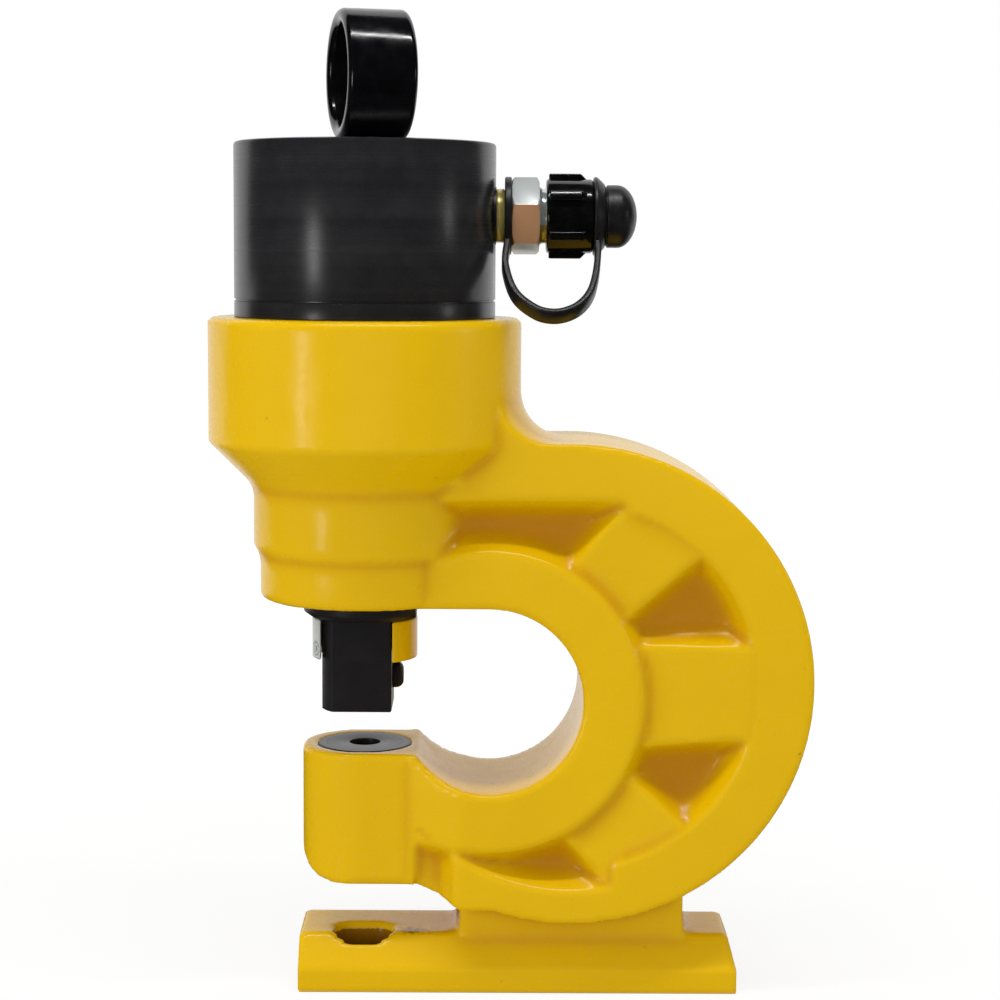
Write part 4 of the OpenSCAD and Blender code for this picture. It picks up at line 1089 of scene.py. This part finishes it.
@dataclass
class Studio:
    """A pale floor, a white surround, soft lights and the camera.

    Attributes:
        eye: The camera's place in metres.
        pitch: How far it looks down, in degrees.
        yaw: How far it looks towards +X.
        roll: How far it is rolled.
        lens: Its focal length on a 36 mm sensor.
        ambient: The surround's strength as a light.
        glow: The floor's strength where it runs out into the surround.
    """

    eye: Triple = (0.0531, -0.9987, 0.3291)
    pitch: float = 6.4
    yaw: float = 0.4
    roll: float = 0.4
    lens: float = 81.2
    ambient: float = 0.6
    glow: float = 1.05

    def build(self) -> None:
        """Makes the studio."""
        self.camera()
        self.surround()
        self.floor()
        self.cards()
        self.lamp("left_softbox", (-1.3, -0.4, 0.5), (0.0, 0.0, 0.2), (0.8, 1.0), 4.8)
        self.lamp("low_softbox", (0.1, -1.5, 0.25), (0.06, 0.0, 0.12), (1.2, 0.4), 3.6)
        self.lamp("right_softbox", (1.4, -0.2, 0.4), (0.1, 0.0, 0.2), (0.8, 1.0), 2.0)
        self.lamp("top_softbox", (0.1, 0.4, 1.5), (0.05, 0.0, 0.2), (1.3, 1.0), 2.0)
        self.lamp("overhead_strip", (0.05, -0.37, 1.45), (0.02, 0.0, 0.4), (1.3, 0.05), 9.5, mirrored=True)
        self.lamp("left_strip", (-0.92, -1.04, 0.2), (0.0, 0.0, 0.25), (0.16, 0.4), 1.8, mirrored=True)
        self.lamp("right_patch", (1.28, -0.25, 0.44), (0.0, 0.0, 0.36), (0.14, 0.2), 0.35, mirrored=True)

    def camera(self) -> None:
        """Places the camera at the photograph's angle."""
        p, y, r = (math.radians(a) for a in (self.pitch, self.yaw, self.roll))
        ahead = Vector((math.sin(y) * math.cos(p), math.cos(y) * math.cos(p), -math.sin(p)))
        right = Vector((math.cos(y), -math.sin(y), 0))
        up = right.cross(ahead)
        across, rise = right * math.cos(r) + up * math.sin(r), up * math.cos(r) - right * math.sin(r)
        data = bpy.data.cameras.new("camera")
        data.lens, data.sensor_width, data.clip_start = self.lens, 36.0, 0.01
        made = bpy.data.objects.new("camera", data)
        turned = Matrix((across, rise, -ahead)).transposed().to_4x4()
        made.matrix_world = Matrix.Translation(self.eye) @ turned
        bpy.context.scene.collection.objects.link(made)
        bpy.context.scene.camera = made

    def seen(self, tree: NodeTree) -> tuple[Node, Node]:
        """Adds the ray switches, and one that is on where a thing is seen or mirrored, and returns both."""
        rays = add(tree, "ShaderNodeLightPath")
        either = {0: rays.outputs["Is Camera Ray"], 1: rays.outputs["Is Glossy Ray"]}
        return rays, add(tree, "ShaderNodeMath", either, operation="MAXIMUM")

    def surround(self) -> None:
        """Makes the world: white where it is seen or mirrored, and a plain soft light otherwise."""
        world = bpy.data.worlds.new("surround")
        world.use_nodes = True
        bpy.context.scene.world = world
        tree = world.node_tree
        rays, seen = self.seen(tree)
        white = add(tree, "ShaderNodeMath", {0: seen.outputs[0], 1: rays.outputs["Is Transmission Ray"]},
                    operation="MAXIMUM")
        level = add(tree, "ShaderNodeMapRange", {0: white.outputs[0], 1: 0.0, 2: 1.0, 3: self.ambient,
                                                 4: 1.0})
        feed(tree, tree.nodes["Background"], {"Color": (1, 1, 1, 1), "Strength": level.outputs[0]})
        bpy.context.scene.view_settings.view_transform = "Standard"

    def floor(self) -> None:
        """Lays the pale floor, which keeps the object's shadow and runs out into the surround."""
        shape = Shape()
        bmesh.ops.create_circle(shape.bm, cap_ends=True, radius=4000.0, segments=96)
        made = shape.loose("floor")
        made.data.transform(Matrix.Scale(MM, 4) @ Matrix.Translation((50, 0, -0.05)))
        matter = new_material("pale_matt_floor", {"Base Color": linear("#e0e0de"), "Roughness": 0.9})
        tree = matter.node_tree
        _, seen = self.seen(tree)
        place = add(tree, "ShaderNodeTexCoord").outputs["Object"]
        away = add(tree, "ShaderNodeVectorMath", {0: place}, operation="LENGTH")
        clear = add(tree, "ShaderNodeMapRange", {0: away.outputs["Value"], 1: 0.25, 2: 0.8, 3: 0.8, 4: 1.0})
        share = add(tree, "ShaderNodeMath", {0: seen.outputs[0], 1: clear.outputs[0]}, operation="MULTIPLY")
        glow = add(tree, "ShaderNodeEmission", {"Color": (1, 1, 1, 1), "Strength": self.glow})
        matt = tree.nodes["Principled BSDF"].outputs[0]
        mix = add(tree, "ShaderNodeMixShader", {0: share.outputs[0], 1: matt, 2: glow.outputs[0]})
        feed(tree, tree.nodes["Material Output"], {"Surface": mix.outputs[0]})
        made.data.materials.append(matter)

    def cards(self) -> None:
        """Stands black felt cards round the front, which only glossy surfaces mirror."""
        felt = new_material("black_felt", {"Base Color": linear("#050505"), "Roughness": 1.0,
                                           "Specular IOR Level": 0.0})
        for name, place, turned, size in (
                ("front_card", (0.1, -2.0, 0.7), "X", (2.2, 1.3)),
                ("left_card", (-2.0, -0.45, 0.7), "Y", (1.3, 1.55)),
                ("right_card", (2.2, -0.2, 0.7), "Y", (1.3, 1.8)),
                ("ceiling_card", (0.1, -0.55, 2.0), "Z", (2.1, 1.5)),
                ("floor_card", (0.1, -0.775, 0.001), "Z", (2.1, 1.275))):
            card = Shape()
            bmesh.ops.create_grid(card.bm, x_segments=1, y_segments=1, size=1.0)
            flag = card.loose(name)
            stand = Matrix.Rotation(0.0 if turned == "Z" else TURN / 4, 4, turned)
            flag.data.transform(Matrix.Translation(place) @ stand @ Matrix.Diagonal((*size, 1.0, 1.0)))
            flag.data.materials.append(felt)
            flag.visible_camera = flag.visible_diffuse = False
            flag.visible_shadow = flag.visible_transmission = False

    def lamp(self, name: str, place: Triple, aim: Triple,
             size: Pair, power: float, mirrored: bool = False) -> None:
        """Hangs one soft rectangular lamp.

        Args:
            name: Its name.
            place: Where it hangs, in metres.
            aim: The point that it lights.
            size: Its width and height, in metres.
            power: Its power in watts.
            mirrored: Whether glossy surfaces show it.
        """
        data = bpy.data.lights.new(name, "AREA")
        data.shape, data.size, data.size_y, data.energy = "RECTANGLE", *size, power
        made = bpy.data.objects.new(name, data)
        made.location = place
        made.rotation_euler = (Vector(aim) - Vector(place)).to_track_quat("-Z", "Y").to_euler()
        made.visible_glossy = mirrored
        bpy.context.scene.collection.objects.link(made)


def main() -> None:
    """Builds the hole punch and its studio."""
    logging.basicConfig(level=logging.INFO, format="%(name)s %(message)s")
    for part in (Studio(), Casting(), Cylinder(), OilCoupling(), Ram(), PunchTooling()):
        LOG.info("building %s", type(part).__name__)
        part.build()


if __name__ == "__main__":
    main()
